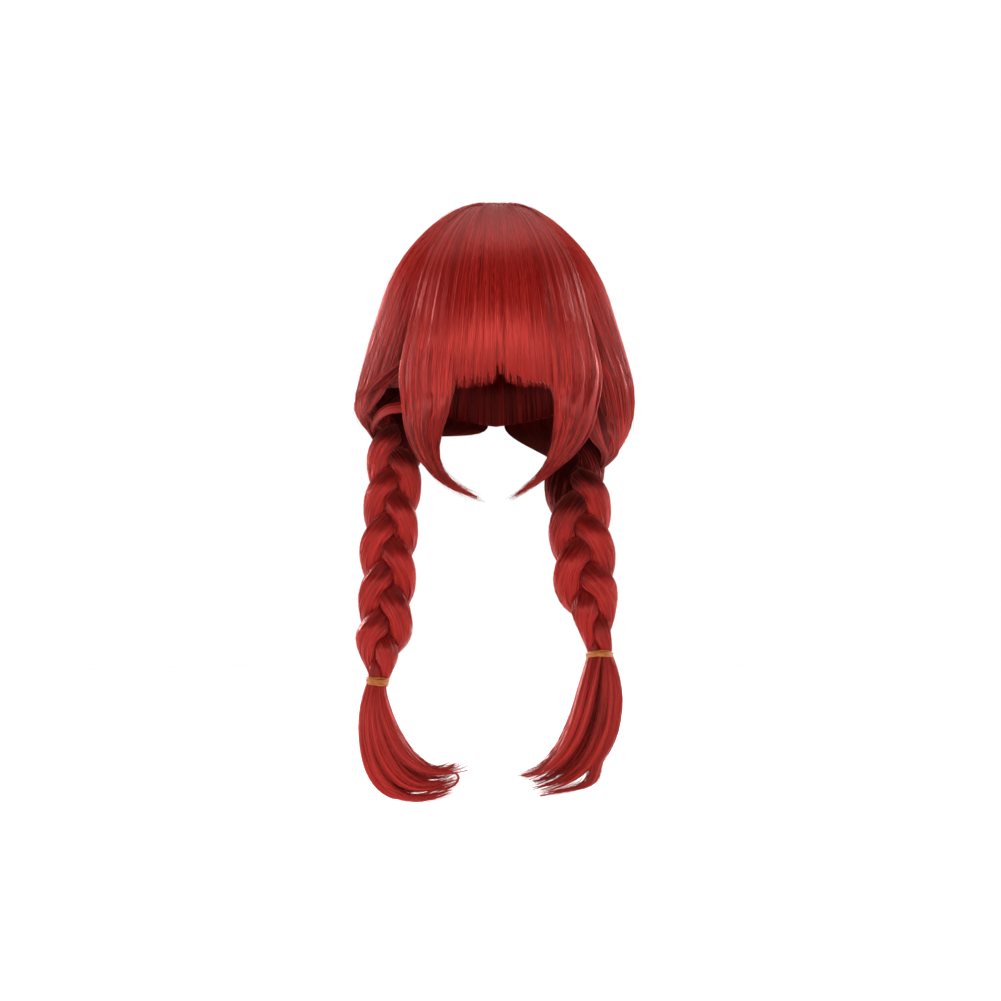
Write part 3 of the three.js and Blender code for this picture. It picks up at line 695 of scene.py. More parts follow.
def bunchHairs(name):
    # Hairs that follow the crown from a little above the rim, then the sheet to the braid's root
    look = bunchLook
    count, above, below = look["hairs"], look["stepsAbove"], look["stepsBelow"]
    share = rng.uniform(0.03, 1, (count, 1))
    way = np.clip(share + 0.008 * sway(count, above + below), 0, 1)
    lift = rng.uniform(*look["hairLift"], (count, 1))
    height = mix(rng.uniform(0.5, 0.85, (count, 1)), 0.98, np.linspace(0, 1, above)[None])
    angle = mix(*look["span"], way)
    upper = crownPoint(sideSign[name] * angle[:, :above], height, lift)
    t = np.linspace(0.16, 1, below)[None] + 0 * share
    lower = bunchPoint(name, way[:, above:], t, lift + 0 * t)
    paths = np.concatenate([upper, lower], 1)
    ends = smooth(0.55, 1, np.linspace(0, 1, above + below))[None]
    # Painted shade on the hairs: at the front edge, towards their ends at the braid's root, and under the rim
    shade = look["hairShade"] * (1 - smooth(0.0, look["edgeSpan"], share)) + look["hairShade"] * ends
    shade = shade + np.concatenate([rimShade(angle[:, :above], height), bunchShade(angle[:, above:], t)], 1)
    return hairTubes(paths, outward(paths), look["hairWidth"], share[:, 0] * look["hairFlow"],
                     look["hairTones"], look["hairTip"], 1.0, shade)


def bunchWisps(name):
    # A few loose hairs that leave the sheet where it turns in, by the square of the way along them
    look = bunchLook
    count, steps = look["wisps"], look["wispSteps"]
    share = rng.uniform(0.15, 0.6, (count, 1)) + 0.05 * sway(count, steps)
    s = np.linspace(0, 1, steps)[None]
    t = rng.uniform(0.2, 0.5, (count, 1)) + rng.uniform(0.15, 0.35, (count, 1)) * s
    lift = 0.2 + rng.uniform(*look["wispRise"], (count, 1)) * s**2
    paths = bunchPoint(name, np.clip(share, 0, 1), t, lift)
    return hairTubes(paths, outward(paths), look["wispWidth"], share[:, 0] * look["hairFlow"],
                     look["wispTones"], look["wispTip"])


sashLook = {  # the lock that crosses over the top of the left braid
    "rows": np.array([  # its middle, then half its height
        [-62, -47, -153, 3.6], [-75.5, -44, -153.7, 3.6], [-84, -39, -154.8, 3.3],
        [-91, -29, -158.5, 2.8], [-97.5, -14, -166, 2.2], [-98.5, -3, -176, 0.8]], float),
    "sides": 14, "steps": 26, "flat": 0.7, "flow": 24, "flowStart": 640, "tone": 0.3, "fadeFrom": 0.5,
    "hairs": 60, "hairSteps": 14, "hairWidth": 0.3, "hairTones": (0.24, 0.66), "hairTip": 0.4, "hairLay": 0.7,
}


def sashPoint(turn, t, lift):  # flat ovals along the middle, as far out as half the height and lift
    look = sashLook
    row = along(look["rows"], t * (len(look["rows"]) - 1))
    middle = row[..., :3]
    side, up = pathFrame(middle)
    reach = row[..., 3:] + lift[..., None]
    return middle + reach * (np.cos(turn)[..., None] * side + look["flat"] * np.sin(turn)[..., None] * up)


def bunchSash():  # one tube of the ovals, and hairs along it that lie on its face and fade as it does
    look = sashLook
    t = np.linspace(0, 1, look["steps"])[None]
    turn = np.linspace(0, fullTurn, look["sides"], endpoint=False)[:, None]
    rings = np.moveaxis(sashPoint(turn + 0 * t, t + 0 * turn, 0 * (t + turn)), 0, 1)[None]
    flowAcross = np.linspace(0, look["flow"], look["sides"] + 1)[None, None] + look["flowStart"]
    tone = look["tone"] - look["tone"] * smooth(look["fadeFrom"], 1, t)[..., None]
    core = tubeBatch(rings, flowAcross, t[..., None], tone)
    count, steps = look["hairs"], look["hairSteps"]
    turn = rng.uniform(*anyPhase, (count, 1)) + 0.12 * sway(count, steps)
    t = np.linspace(0, 1, steps)[None] + 0 * turn
    paths = sashPoint(turn, t, rng.uniform(0.0, 0.4, (count, 1)) + 0 * t)
    out = unit(paths - sashPoint(turn, t, -3 + 0 * t))
    hairs = hairTubes(paths, out, look["hairWidth"], turn[:, 0] * 4 + look["flowStart"], look["hairTones"],
                      look["hairTip"], look["hairLay"], look["tone"] * smooth(look["fadeFrom"], 1, t))
    return [core, hairs]


# Fringe

fringeLook = {
    "columns": 190, "rows": 44, "clump": 2.2, "point": 8.5, "lengths": (0.75, 0.3), "bodyShort": 2.5,
    "edgeAngles": [-17.5, -9, -1, 2.2, 5, 10, 23.5],
    "edgeHeights": [-140.5, -138, -133.5, -126.5, -134.5, -139.5, -142.5],
    "rounding": 0.9, "roundingEdge": 1.2, "thinFrom": 0.72, "thinBy": 1.2, "thinInner": -1.8,
    "tone": 0.45, "innerTone": 0.2,
    "hairs": 700, "hairSteps": 16, "hairWidth": 0.3,
    "hairTones": (0.27, 0.79), "hairTip": 0.1, "hairSway": 0.4,
    "tipsFrom": 0.7, "tipLight": 0.2,
}


def fringeClump(angle):
    # Place within its clump, -1 to 1, and the clump's own length from a sine of its number
    place = angle / fringeLook["clump"] + 0.35 * np.sin(0.9 * angle) + 0.2 * np.sin(2.3 * angle + 1)
    number = np.round(place)
    usual, varied = fringeLook["lengths"]
    return 2 * (place - number), usual + varied * np.sin(number * 12.9 + 2)


def fringeHeight(angle):  # lower edge without its points, straight between the heights that are given
    return np.interp(angle, fringeLook["edgeAngles"], fringeLook["edgeHeights"])


def fringeEdge(angle):
    # The lower edge, lower in the middle of each clump by its length, straight to its sides
    place, length = fringeClump(angle)
    point = (1 - np.abs(place)) * length
    return fringeHeight(angle) - fringeLook["point"] * (point - 0.55)


def curtainLift(angle, station):
    # Tucked under the crown at the whorl, then level with it, plus most of the relief
    return 0.8 * headRelief(angle, station) + mix(*headLook["curtainRises"], smooth(1.3, 2.1, station))


def fringeBody():
    # Closed sheet on the head's face from the whorl to the edge, thinner there and round at the sides
    look = fringeLook
    angle = np.linspace(*fringeSpan, look["columns"])[None]
    share = np.linspace(0, 1, look["rows"])[:, None] ** 0.8
    station = mix(headLook["curtainTop"], stationAt(fringeEdge(angle) + look["bodyShort"]), share)
    edge = np.minimum(angle - fringeSpan[0], fringeSpan[1] - angle)
    rounding = -look["rounding"] * (1 - smooth(0, look["roundingEdge"], edge)) * smooth(7.5, 9, station)
    thin = smooth(look["thinFrom"], 1, share)
    outer = headPoint(angle, station, curtainLift(angle, station) + rounding - look["thinBy"] * thin)
    inner = headPoint(angle, station, mix(-curtainThickness(station), look["thinInner"], thin))
    return sheetBody(outer, inner, angle[0] * headLook["flowPerDegree"], share[:, 0],
                     look["tone"] - partingShadeStreaks(angle, station), look["innerTone"])


def fringeHairs():  # hairs down the face of the fringe that draw together, eased, into the clumps' points
    look = fringeLook
    count, steps = look["hairs"], look["hairSteps"]
    angle = rng.uniform(*fringeSpan, (count, 1))
    t = np.linspace(0, 1, steps)[None]
    place, length = fringeClump(angle)
    gather = -0.5 * place * look["clump"] * rng.uniform(0.5, 1, (count, 1))
    path = angle + look["hairSway"] * sway(count, steps) * t + gather * smooth(look["thinFrom"], 1, t)
    reach = length * rng.uniform(0.5, 1.05, (count, 1)) - 0.5
    tip = fringeHeight(angle + gather) - look["point"] * reach
    station = mix(rng.uniform(1.3, 2.4, (count, 1)), stationAt(tip), t)
    tips = smooth(look["tipsFrom"], 1, t)
    under = mix(rng.uniform(0.0, 0.45, (count, 1)), rng.uniform(-1.6, -0.2, (count, 1)), tips)
    paths = headPoint(path, station, curtainLift(path, station) + under)
    # Painted shade of the partings, and painted light at the tips, where light shines through the thin ends
    shade = partingShadeStreaks(path, station) - look["tipLight"] * tips
    return hairTubes(paths, outward(paths), look["hairWidth"], angle[:, 0] * headLook["flowPerDegree"],
                     look["hairTones"], look["hairTip"], 1.0, shade)


# Side locks: a curtain from the whorl, then a blade that sweeps in to a point

sideLockLook = {
    "columns": 56, "rows": 96, "curtainRows": 8, "curtainEnd": -130,
    "lastPlace": 14, "turnBack": 0.55, "bulge": 0.07,
    "spans": {"left": (curtainSpan[0], fringeSpan[0]), "right": (fringeSpan[1], curtainSpan[1])},
    "blades": {  # x, y, z of the blade's middle, its width and thickness
        "left": np.array([
            [-53, -87, -154, 37, 7.5], [-54.5, -85, -172, 30, 7.5], [-52.8, -83.5, -188, 19, 7],
            [-46.3, -84, -201, 11, 6], [-37.2, -86, -211.3, 6.6, 5], [-25.7, -89, -218.6, 3.6, 3.5],
            [-14, -91.5, -223.3, 0.6, 1]], float),
        "right": np.array([
            [61, -83, -154, 34, 7.5], [58, -82.5, -172, 28.5, 7.5], [51.2, -82.5, -187, 19.5, 7],
            [43.2, -84, -198.5, 10.5, 6], [34.6, -86.5, -207.8, 6.2, 5], [25, -89, -215.5, 3.4, 3.5],
            [14, -91.5, -222.5, 0.6, 1]], float),
    },
    "relief": 0.55, "grooves": 11, "grooveDepth": 1.4,
    "narrowPlaces": [0, 7, 9, 12, 14], "narrow": [1, 1, 0.7, 0.4, 0.1],
    "flow": 46, "flowStart": {"left": 200, "right": 300}, "hairFlow": 200,
    "tone": 0.43, "innerTone": 0.2, "darkDown": 0.46,
    "darkFrom": (6, 10), "lightTip": 0.34, "lightFrom": (11.2, 13.6),
    "hairs": 300, "hairSteps": 19, "hairWidth": 0.32,
    "hairTones": (0.23, 0.85), "hairTip": 0.15, "hairLift": (0.05, 0.5),
    "gridAcross": 60, "gridDown": 240,
}


def sideLockRows(name, way):
    # Control rows of both faces, and the angle. The curtain's rows lie on the head and its thickness below.
    # The blade's are its middle plus the width across its run, as a lens, with its outer edge turned back
    look = sideLockLook
    angle = mix(*look["spans"][name], way)[None]
    station = np.linspace(headLook["curtainTop"], stationAt(look["curtainEnd"]), look["curtainRows"])[:, None]
    curtain = [headPoint(angle, station, lift) for lift in (0.0, -curtainThickness(station))]
    blade = look["blades"][name]
    x, y, z, width, thickness = (blade[:, k:k + 1] for k in range(5))
    run = np.gradient(blade[:, [0, 2]], axis=0)
    run = run / np.linalg.norm(run, axis=1, keepdims=True)
    above = (1 - np.arange(len(blade)) / len(blade))[:, None]
    offset = width * (way - 0.5)[None]
    arch = np.sqrt(np.maximum(1 - (2 * way - 1) ** 2, 0))[None]
    depth = y + look["turnBack"] * above * sideSign[name] * offset - look["bulge"] * width * arch**2
    lens = thickness * (0.35 + 0.65 * arch)
    faces = [np.stack([x - run[:, 1:] * offset, depth + k * lens / 2, z + run[:, :1] * offset], -1)
             for k in (-1, 1)]
    return [np.concatenate([upper, lower]) for upper, lower in zip(curtain, faces)], angle


def sideLockSurface(name, way, place):
    # Points of both faces on the curves down the control rows. The outer one is raised from the inner one by
    # the relief, by ridges along the blade, and by a tuck under the crown at the top
    look = sideLockLook
    (outerRows, innerRows), angle = sideLockRows(name, way)
    outer, inner = along(outerRows, place), along(innerRows, place)
    narrow = np.interp(place, look["narrowPlaces"], look["narrow"])
    rise = look["relief"] * relief(angle, outer[..., 2]) * (smooth(0.2, 2, place) * narrow)[:, None]
    groove = ridges(look["grooves"] * way + 0.6 + 0.25 * np.sin(0.8 * place[:, None]), 0.6, 1.3)
    grown = smooth(5, 8, place) * (1 - 0.8 * smooth(10.5, look["lastPlace"], place))
    rise = rise + look["grooveDepth"] * groove * grown[:, None]
    tuck = mix(*headLook["curtainRises"], smooth(0.05, 0.8, place))[:, None]
    return outer + unit(outer - inner) * (rise + tuck)[..., None], inner


def sideLockFade(name, way, place):
    # Eased darker down the blade and light again at the tip, plus the painted shade of the whorl's partings
    look = sideLockLook
    stations = [headLook["curtainTop"], stationAt(look["curtainEnd"])]
    station = np.interp(place, [0, look["curtainRows"] - 1], stations)
    fade = look["darkDown"] * smooth(*look["darkFrom"], place)
    fade = fade - look["lightTip"] * smooth(*look["lightFrom"], place)
    return fade + partingShadeStreaks(mix(*look["spans"][name], way), station)


def sideLockBody(name):  # closed sheet over the way across and the place down
    look = sideLockLook
    way = np.linspace(0, 1, look["columns"])
    place = np.linspace(0, look["lastPlace"], look["rows"])
    outer, inner = sideLockSurface(name, way, place)
    fade = sideLockFade(name, way, place[:, None])
    across, down = way * look["flow"] + look["flowStart"][name], np.linspace(0, 1.3, look["rows"])
    return sheetBody(outer, inner, across, down, look["tone"] - fade, look["innerTone"] - fade)


def sideLockHairs(name):
    # Hairs on a fine grid of the outer face, straight between its columns, lifted off it, averaged with their
    # neighbours along the hair, and scattered at the tips
    look = sideLockLook
    count, steps, grid, last = look["hairs"], look["hairSteps"], look["gridAcross"], look["lastPlace"]
    start = rng.uniform(0.0, 0.8, (count, 1))
    stop = last - np.abs(rng.normal(0, 0.6, (count, 1)))
    stop = stop - 3.5 * (rng.uniform(0, 1, (count, 1)) < 0.25) * rng.uniform(0, 1, (count, 1))
    t = np.linspace(0, 1, steps)[None]
    place = mix(start, stop, t)
    way = np.clip(rng.uniform(0.0, 1.0, (count, 1)) + 0.05 * sway(count, steps), 0, 1)
    outer, inner = sideLockSurface(name, np.linspace(0, 1, grid), np.linspace(0, last, look["gridDown"]))
    i, j = np.round(place / last * (look["gridDown"] - 1)).astype(int), way * (grid - 1)
    k = np.minimum(j.astype(int), grid - 2)
    f = (j - k)[..., None]
    base, under = (face[i, k] * (1 - f) + face[i, k + 1] * f for face in (outer, inner))
    out = unit(base - under)
    paths = base + out * rng.uniform(*look["hairLift"], (count, 1))[..., None]
    paths[:, 1:-1] = 0.25 * paths[:, :-2] + 0.5 * paths[:, 1:-1] + 0.25 * paths[:, 2:]
    heading = paths[:, -1:] - paths[:, -3:-2]
    scatter = heading * rng.uniform(-0.6, 0.35, (count, 1, 1)) + rng.normal(0, 1.0, (count, 1, 3))
    paths = paths + scatter * smooth(0.75, 1, t)[..., None]
    return hairTubes(paths, out, look["hairWidth"], way[:, 0] * look["flow"] + look["hairFlow"],
                     look["hairTones"], look["hairTip"], 1.0, sideLockFade(name, way, place))


# Strands of the braids

strandLook = {
    "sides": 40, "steps": 150, "gap": 0.5, "roll": 0.8,
    "swing": (0.46, 0.4), "size": (0.54, 0.66), "square": 2.5,
    "squeeze": 6, "rootSize": 0.3, "rootGrows": 32, "endAt": 1.02, "endShort": 0.5,
    "grooves": ((9, 0.34), (15, 0.3), (23, 0.22)),  # how many round the strand, and their height
    "flow": 62, "flowStep": 70, "tone": 0.34, "innerTone": 0.5,
    "edgeLight": 0.44, "edgeTurn": 0.35, "middleTone": 0.25,
    "hairs": 280, "hairSteps": 17, "hairWidth": 0.34,
    "hairTones": (0.27, 0.77), "hairTip": 0.5, "hairLay": 0.6,
    "hairLength": (45, 80), "hairTurns": 89, "axle": 9.0,
}


def strandTurn(name, index, distance):
    # How far a strand is round its figure of eight: a third of a turn apart
    look = braidLooks[name]
    return fullTurn * (distance - look["firstLobe"]) / look["period"] + math.pi / 2 + index * fullTurn / 3


def strandPoint(name, index, distance, alpha, lift):
    # The middle goes across by the sine of its turn and to the front by the sine of twice that. The radius at
    # alpha is the sixth root of one over a sum of sixth powers: of one over a squarish oval's radius, and,
    # towards each other strand, of one over half the way to it
    look, braid = strandLook, braidLooks[name]
    share = distance / braidLengths[name]
    centre, _, width, front = axisAt(name, distance)
    taper = mix(1, braid["waist"] / braid["halfWidth"], smooth(braid["taperFrom"], look["endAt"], share))
    root = smooth(-braid["rise"], look["rootGrows"] - braid["rise"], distance)
    taper = taper * mix(look["rootSize"], 1, root)
    middles = []
    for k in range(3):
        turn = strandTurn(name, k, distance)
        middles.append((look["swing"][0] * braid["halfWidth"] * np.sin(turn) * taper,
                        look["swing"][1] * braid["halfDepth"] * np.sin(2 * turn) * taper))
    alpha = alpha + look["roll"] * np.cos(strandTurn(name, index, distance))
    wayX, wayY = np.cos(alpha), np.sin(alpha)
    across, deep = look["size"][0] * braid["halfWidth"] * taper, look["size"][1] * braid["halfDepth"] * taper
    square, squeeze = look["square"], look["squeeze"]
    inverse = (np.abs(wayX / across) ** square + np.abs(wayY / deep) ** square) ** (squeeze / square)
    middleX, middleY = middles[index]
    for otherX, otherY in middles[:index] + middles[index + 1:]:
        apartX, apartY = otherX - middleX, otherY - middleY
        apart = np.hypot(apartX, apartY)
        facing = np.maximum((wayX * apartX + wayY * apartY) / apart, 0)
        inverse = inverse + (facing / (apart / 2 - look["gap"] * taper)) ** squeeze
    radius = inverse ** (-1 / squeeze) + lift * (0.4 + 0.6 * taper)
    x, y = middleX + wayX * radius, middleY + wayY * radius
    return centre + width * x[..., None] + front * y[..., None]


def strandShade(name, index, distance):
    # Painted light at the braid's edges, by the size of the turn's sine, and painted shade in the middle;
    # near the root more painted shade where the sine is on the inner side, and all round
    look, braid = strandLook, braidLooks[name]
    turn = strandTurn(name, index, distance)
    inner = np.sin(turn) * -sideSign[name]
    root = braid["rootShade"]
    hidden = look["innerTone"] * smooth(-0.1, 0.7, inner) * (1 - smooth(0.35 * root, root, distance))
    hidden = hidden + braid["rootDark"] * (1 - smooth(*braid["rootSpan"], distance))
    hidden = hidden + braid["rootFade"] * (1 - smooth(-30, 60, distance))
    return look["middleTone"] - look["edgeLight"] * np.abs(np.sin(turn - look["edgeTurn"])) + hidden


def strandGrooves(index, alpha, share):
    # Ropes of hair along the strand: the sum of ridges round it, each bent by a sine
    total = 0
    for count, height in strandLook["grooves"]:
        total = total + height * ridges(count * alpha / 2 + index * 2 + 2.5 * np.sin(3 * share + count))
    return total


def strandBodies(name, index):
    # One tube of the strand's outline along the braid, and hairs that follow it part of the way
    look = strandLook
    length, rise = braidLengths[name], braidLooks[name]["rise"]
    alpha = np.linspace(0, fullTurn, look["sides"], endpoint=False)[None]
    distance = np.linspace(-rise, length - look["endShort"], look["steps"])[:, None]
    grooves = strandGrooves(index, alpha, distance / length)
    rings = strandPoint(name, index, distance + 0 * alpha, alpha + 0 * distance, grooves)
    flowStart = look["flowStep"] * index
    flowAcross = np.linspace(0, look["flow"], look["sides"] + 1)[None, None]
    flowAcross = flowAcross + flowStart + braidLooks[name]["flowStart"]
    tone = look["tone"] - strandShade(name, index, distance)[None]
    core = tubeBatch(rings[None], flowAcross, np.linspace(0, 1.6, look["steps"])[None, :, None], tone)
    count, steps = look["hairs"], look["hairSteps"]
    turn = np.linspace(0, fullTurn * look["hairTurns"], count, endpoint=False)[:, None]
    turn = turn + rng.normal(0, 0.05, (count, 1))
    turn = turn + 0.1 * sway(count, steps)
    t = np.linspace(0, 1, steps)[None]
    first = rng.uniform(1 - rise, length - 50, (count, 1))
    way = np.minimum(first + rng.uniform(*look["hairLength"], (count, 1)) * t, length - 1)
    ends = 0.6 * (smooth(0.12, 0, t) + smooth(0.88, 1, t))
    lift = strandGrooves(index, turn, way / length) + rng.uniform(0.0, 0.45, (count, 1)) - ends
    paths = strandPoint(name, index, way, turn, lift)
    out = unit(paths - axisAt(name, way)[0])
    hairs = hairTubes(paths, out, look["hairWidth"], turn[:, 0] * 10 + flowStart, look["hairTones"],
                      look["hairTip"], look["hairLay"], strandShade(name, index, way))
    return [core, hairs]


# Tufts

tuftLook = {
    "lockSides": 10, "lockSteps": 28, "girth": 4.3, "flat": 0.85, "lockFlow": 24, "flowStep": 31,
    "locks": {  # x and z of the two bends and the tip of an outer, a middle and an inner lock, from the band
        "left": np.array([
            [-16, -24, -12, -113, 57, -82], [-8, -22, 5, -99, 63, -74], [-0.5, -20, 21.5, -84, 69, -65]]),
        "right": np.array([
            [-13, -32, -18, -85, -60, -99], [1, -30, 4, -89, -51, -103], [18.5, -30, 15.5, -93, -45, -107]]),
    },
    "groups": {  # spans in the band and below it, number, x and z where the tips meet, draw, hook, painted shade
        "left": [
            (0.0, 0.46, -0.25, 0.08, 12, 54, -84, 0.75, 0, 0),
            (0.56, 0.8, 0.34, 0.68, 9, 58, -78, 0.6, 0, 0),
            (0.8, 1.0, 0.8, 1.2, 11, 68, -65, 0.8, 0, 0),
            (0.1, 0.9, 0.0, 1.0, 9, 58, -76, 0.5, 0, 0.3)],
        "right": [
            (0.0, 0.68, -0.22, 0.26, 14, -58, -93, 0.7, 0, 0),
            (0.76, 0.9, 0.56, 0.86, 8, -50, -103, 0.6, 0, 0.06),
            (0.88, 1.0, 0.86, 1.2, 10, -46, -108, 0.9, 1, 0),
            (0.2, 0.9, 0.1, 0.9, 10, -52, -98, 0.5, 0, 0.3)],
    },
    "depths": np.array([-0.6, 0.2, 0.45, -0.2, 0.3, -0.45]), "backDepth": 0.75, "backShade": 0.2,
    "inBand": 1.6, "startZ": 1.5, "bellyOut": 1.08, "bellyDepth": 15,
    "bendDepth": 16, "tipDepth": 6, "forward": 1,
    "hook": np.array([9.0, 0, -3]), "hookPlaces": (0.66, 0.84),
    "tipScatter": (0, 1.5, 1.3), "tipBack": (-13, 3),
    "tone": {"left": 0.35, "right": 0.26}, "toneSpread": 0.1, "tipTone": 0.2,
    "hairs": 620, "hairSteps": 17, "hairWidth": 0.28,
    "hairTones": (0.3, 0.8), "hairTip": 0.12, "hairLay": 0.15,
    "hairScatter": (4, 1.3, 1.9), "hairBeyond": 4.0, "hairTone": 0.35, "hairTipTone": 0.25,
    "loop": np.array([  # x and z of the curl in the left tuft
        [30, -85], [40.6, -83.7], [52.2, -82.9], [59.9, -79.8],
        [63, -74.4], [60.7, -70.6], [52.2, -70.6], [38, -73]]),
    "loopHairs": 7, "loopSteps": 15, "loopWidth": 0.5,
    "loopTones": (0.3, 0.6), "loopTip": 0.4, "loopLay": 0.2,
    "axle": 9.0,
}


def tuftSpread(name):  # one row per lock: even places across its group, depth, and its group's own values
    look = tuftLook
    rows = []
    for bandLow, bandHigh, low, high, count, x, z, draw, hook, shade in look["groups"][name]:
        k = np.arange(count)
        way = (k + 0.5) / count
        deep = look["depths"][k % len(look["depths"])] + rng.normal(0, 0.06, count)
        if shade > look["backShade"]:
            deep = look["backDepth"] + 0.1 * np.sin(k)
        shared = [value + 0 * way for value in (x, z, draw, hook, shade)]
        rows.append(np.stack([mix(low, high, way), deep, *shared, mix(bandLow, bandHigh, way)], 1))
    return np.concatenate(rows)


def tuftCurve(name, locks, t, scatter):
    # Four-point curve from the band to the tip: its bends lie between those of the outer and the inner lock,
    # set back by depth. The tip is drawn to where its group meets, and a hooked lock swings aside before it
    look = tuftLook
    across, deep, meetX, meetZ, draw, hook, _, bandPlace = locks.T
    bellyX, bellyZ, bendX, bendZ, tipX, tipZ = along(look["locks"][name], across * 2).T
    waist = braidLooks[name]["waist"] - look["inBand"]
    startX = mix(-waist, waist, bandPlace) * np.sqrt(np.maximum(1 - deep**2, 0))
    start = np.stack([startX, deep * waist, 0 * across + look["startZ"]], -1)
    belly = np.stack([bellyX * look["bellyOut"], deep * look["bellyDepth"], bellyZ], -1)
    bend = np.stack([bendX, deep * look["bendDepth"] - look["forward"], bendZ], -1)
    tipDepth = deep * look["tipDepth"] - look["forward"]
    tip = np.stack([mix(tipX, meetX, draw), tipDepth, mix(tipZ, meetZ, draw)], -1) + scatter
    controls = [control[:, None] for control in (start, belly, bend, tip)]
    out, back = look["hookPlaces"]
    swing = smooth(out, back, t) - smooth(back, 1, t)
    centre = axisAt(name, np.array([braidLengths[name]]))[0][0]
    aside = hook[:, None, None] * look["hook"] * swing[None, :, None]
    return centre + fourPointCurve(controls, t[None, :, None]) + aside


def tuftGirth(t):  # narrow in the band, eased to full at a third and drawn out to a point
    return tuftLook["girth"] * mix(0.42, 1, smooth(0, 0.35, t)) * (1 - 0.93 * smooth(0.5, 1, t))


def tuftBodies(name):
    # Oval locks along their curves, with hairs round them that spread further at the tips. In the left tuft
    # a few hairs more follow the loop
    look = tuftLook
    locks = tuftSpread(name)
    count = len(locks)
    inward = -sideSign[name]
    t = np.linspace(0, 1, look["lockSteps"])
    scatter = rng.normal(0, 1, (count, 3)) * look["tipScatter"]
    scatter[:, 0] = inward * rng.uniform(*look["tipBack"], count)
    paths = tuftCurve(name, locks, t, scatter)
    side, up = pathFrame(paths)
    radius = tuftGirth(t)[None] * rng.uniform(0.8, 1.15, (count, 1))
    turns = np.linspace(0, fullTurn, look["lockSides"], endpoint=False)[:, None]
    oval = np.cos(turns) * side[:, :, None] + look["flat"] * np.sin(turns) * up[:, :, None]
    rings = paths[:, :, None] + radius[..., None, None] * oval
    flowAcross = np.linspace(0, look["lockFlow"], look["lockSides"] + 1)[None, None]
    flowAcross = flowAcross + look["flowStep"] * np.arange(count)[:, None, None]
    # Tone less the group's painted shade, greatest on the filling locks set behind, and lighter towards the
    # tip
    tone = look["tone"][name] + look["toneSpread"] * rng.normal(0, 1, (count, 1, 1)) - locks[:, 6, None, None]
    tone = tone + look["tipTone"] * (t**2)[None, :, None]
    core = tubeBatch(rings, flowAcross, t[None, :, None], tone)
    hairs, steps = look["hairs"], look["hairSteps"]
    home = rng.integers(0, count, hairs)
    t = np.linspace(0, 1, steps)
    beyond = np.array([inward * look["hairBeyond"], 0, 0])
    spread = rng.normal(0, 1, (hairs, 3)) * look["hairScatter"] + beyond
    base = tuftCurve(name, locks[home], t, scatter[home] + spread)
    side, up = pathFrame(base)
    ring = rng.uniform(*anyPhase, (hairs, 1))
    bulge = 1.04 * tuftGirth(t)[None] + 0.35 * sway(hairs, steps) * (t**2)[None]
    out = np.cos(ring)[..., None] * side + look["flat"] * np.sin(ring)[..., None] * up
    shade = locks[home, 6, None] + look["hairTone"] - look["tone"][name] - look["hairTipTone"] * (t**2)[None]
    strands = hairTubes(base + bulge[..., None] * out, out, look["hairWidth"], home * float(look["flowStep"]),
                        look["hairTones"], look["hairTip"], look["hairLay"], shade)
    if name == "right":
        return [core, strands]
    x, z = along(look["loop"], np.linspace(0, len(look["loop"]) - 1, look["loopSteps"])).T
    path = np.stack([x, 0 * x - 2, z], 1) + axes[name]["points"][-1]
    paths = path[None] + rng.normal(0, 0.5, (look["loopHairs"], 1, 3))
    ahead = np.array([0, -1.0, 0]) + 0 * paths
    curl = hairTubes(paths, ahead, look["loopWidth"], np.arange(float(look["loopHairs"])),
                     look["loopTones"], look["loopTip"], look["loopLay"])
    return [core, strands, curl]


# Bands

bandLook = {
    "turns": 4, "steps": 260, "cord": 1.05, "sides": 10,
    "flat": 0.6, "offWaist": 0.75, "uneven": (0.25, 0.35),
    "endSize": 0.05, "flow": (6, 200),
    "amber": (0.38, 0.11, 0.014), "dark": (0.24, 0.06, 0.008), "stops": (0.3, 0.7),
    "cloud": 0.35, "detail": 3.0,
    "bump": 0.2, "bumpDepth": 0.0004, "roughness": 0.45, "grain": 0.2, "gloss": 0.3,
    "glow": 0.3, "glowReach": (0.004, 0.0015, 0.0005), "glowScale": 0.5,
}


def bandBody(name):
    # A thin elastic wound round the waist: a helix whose reach and height waver by sines of its turn,
    # with a flat oval carried along it that thins at both ends
    look, braid = bandLook, braidLooks[name]
    turn = np.linspace(0, fullTurn * look["turns"], look["steps"])
    centre, down, width, front = (v[0] for v in axisAt(name, np.array([braidLengths[name]])))
    width = unit(width * [1, 1, braid["bandTilt"]])
    front = unit(front * [1, 1, braid["bandArch"]])
    wideWaver, highWaver = look["uneven"]
    height = np.linspace(-0.5, 0.5, turn.size) * (braid["bandHeight"] - 2 * look["cord"])
    height = height + braid["bandDrop"] + highWaver * np.sin(3 * turn + 1) * np.cos(turn * 0.5)
    reach = braid["waist"] + look["offWaist"] + wideWaver * np.sin(2.3 * turn)
    level = centre + height[:, None] * down
    path = level + reach[:, None] * (np.cos(turn)[:, None] * width + np.sin(turn)[:, None] * front)
    run = unit(np.gradient(path, axis=0))
    out = unit(path - level)
    up = np.cross(run, out)
    sides = np.linspace(0, fullTurn, look["sides"], endpoint=False)[:, None]
    ends = np.linspace(look["endSize"], 1, turn.size)
    cord = look["cord"] * np.minimum(1, 4 * np.minimum(ends, ends[::-1]))
    oval = look["flat"] * np.cos(sides) * out[:, None] + np.sin(sides) * up[:, None]
    rings = path[:, None] + cord[:, None, None] * oval
    flowAcross = np.linspace(0, look["flow"][0], look["sides"] + 1)[None, None]
    flowDown = np.linspace(0, look["flow"][1], turn.size)[None, :, None]
    return tubeBatch(rings[None], flowAcross, flowDown, 0.5)


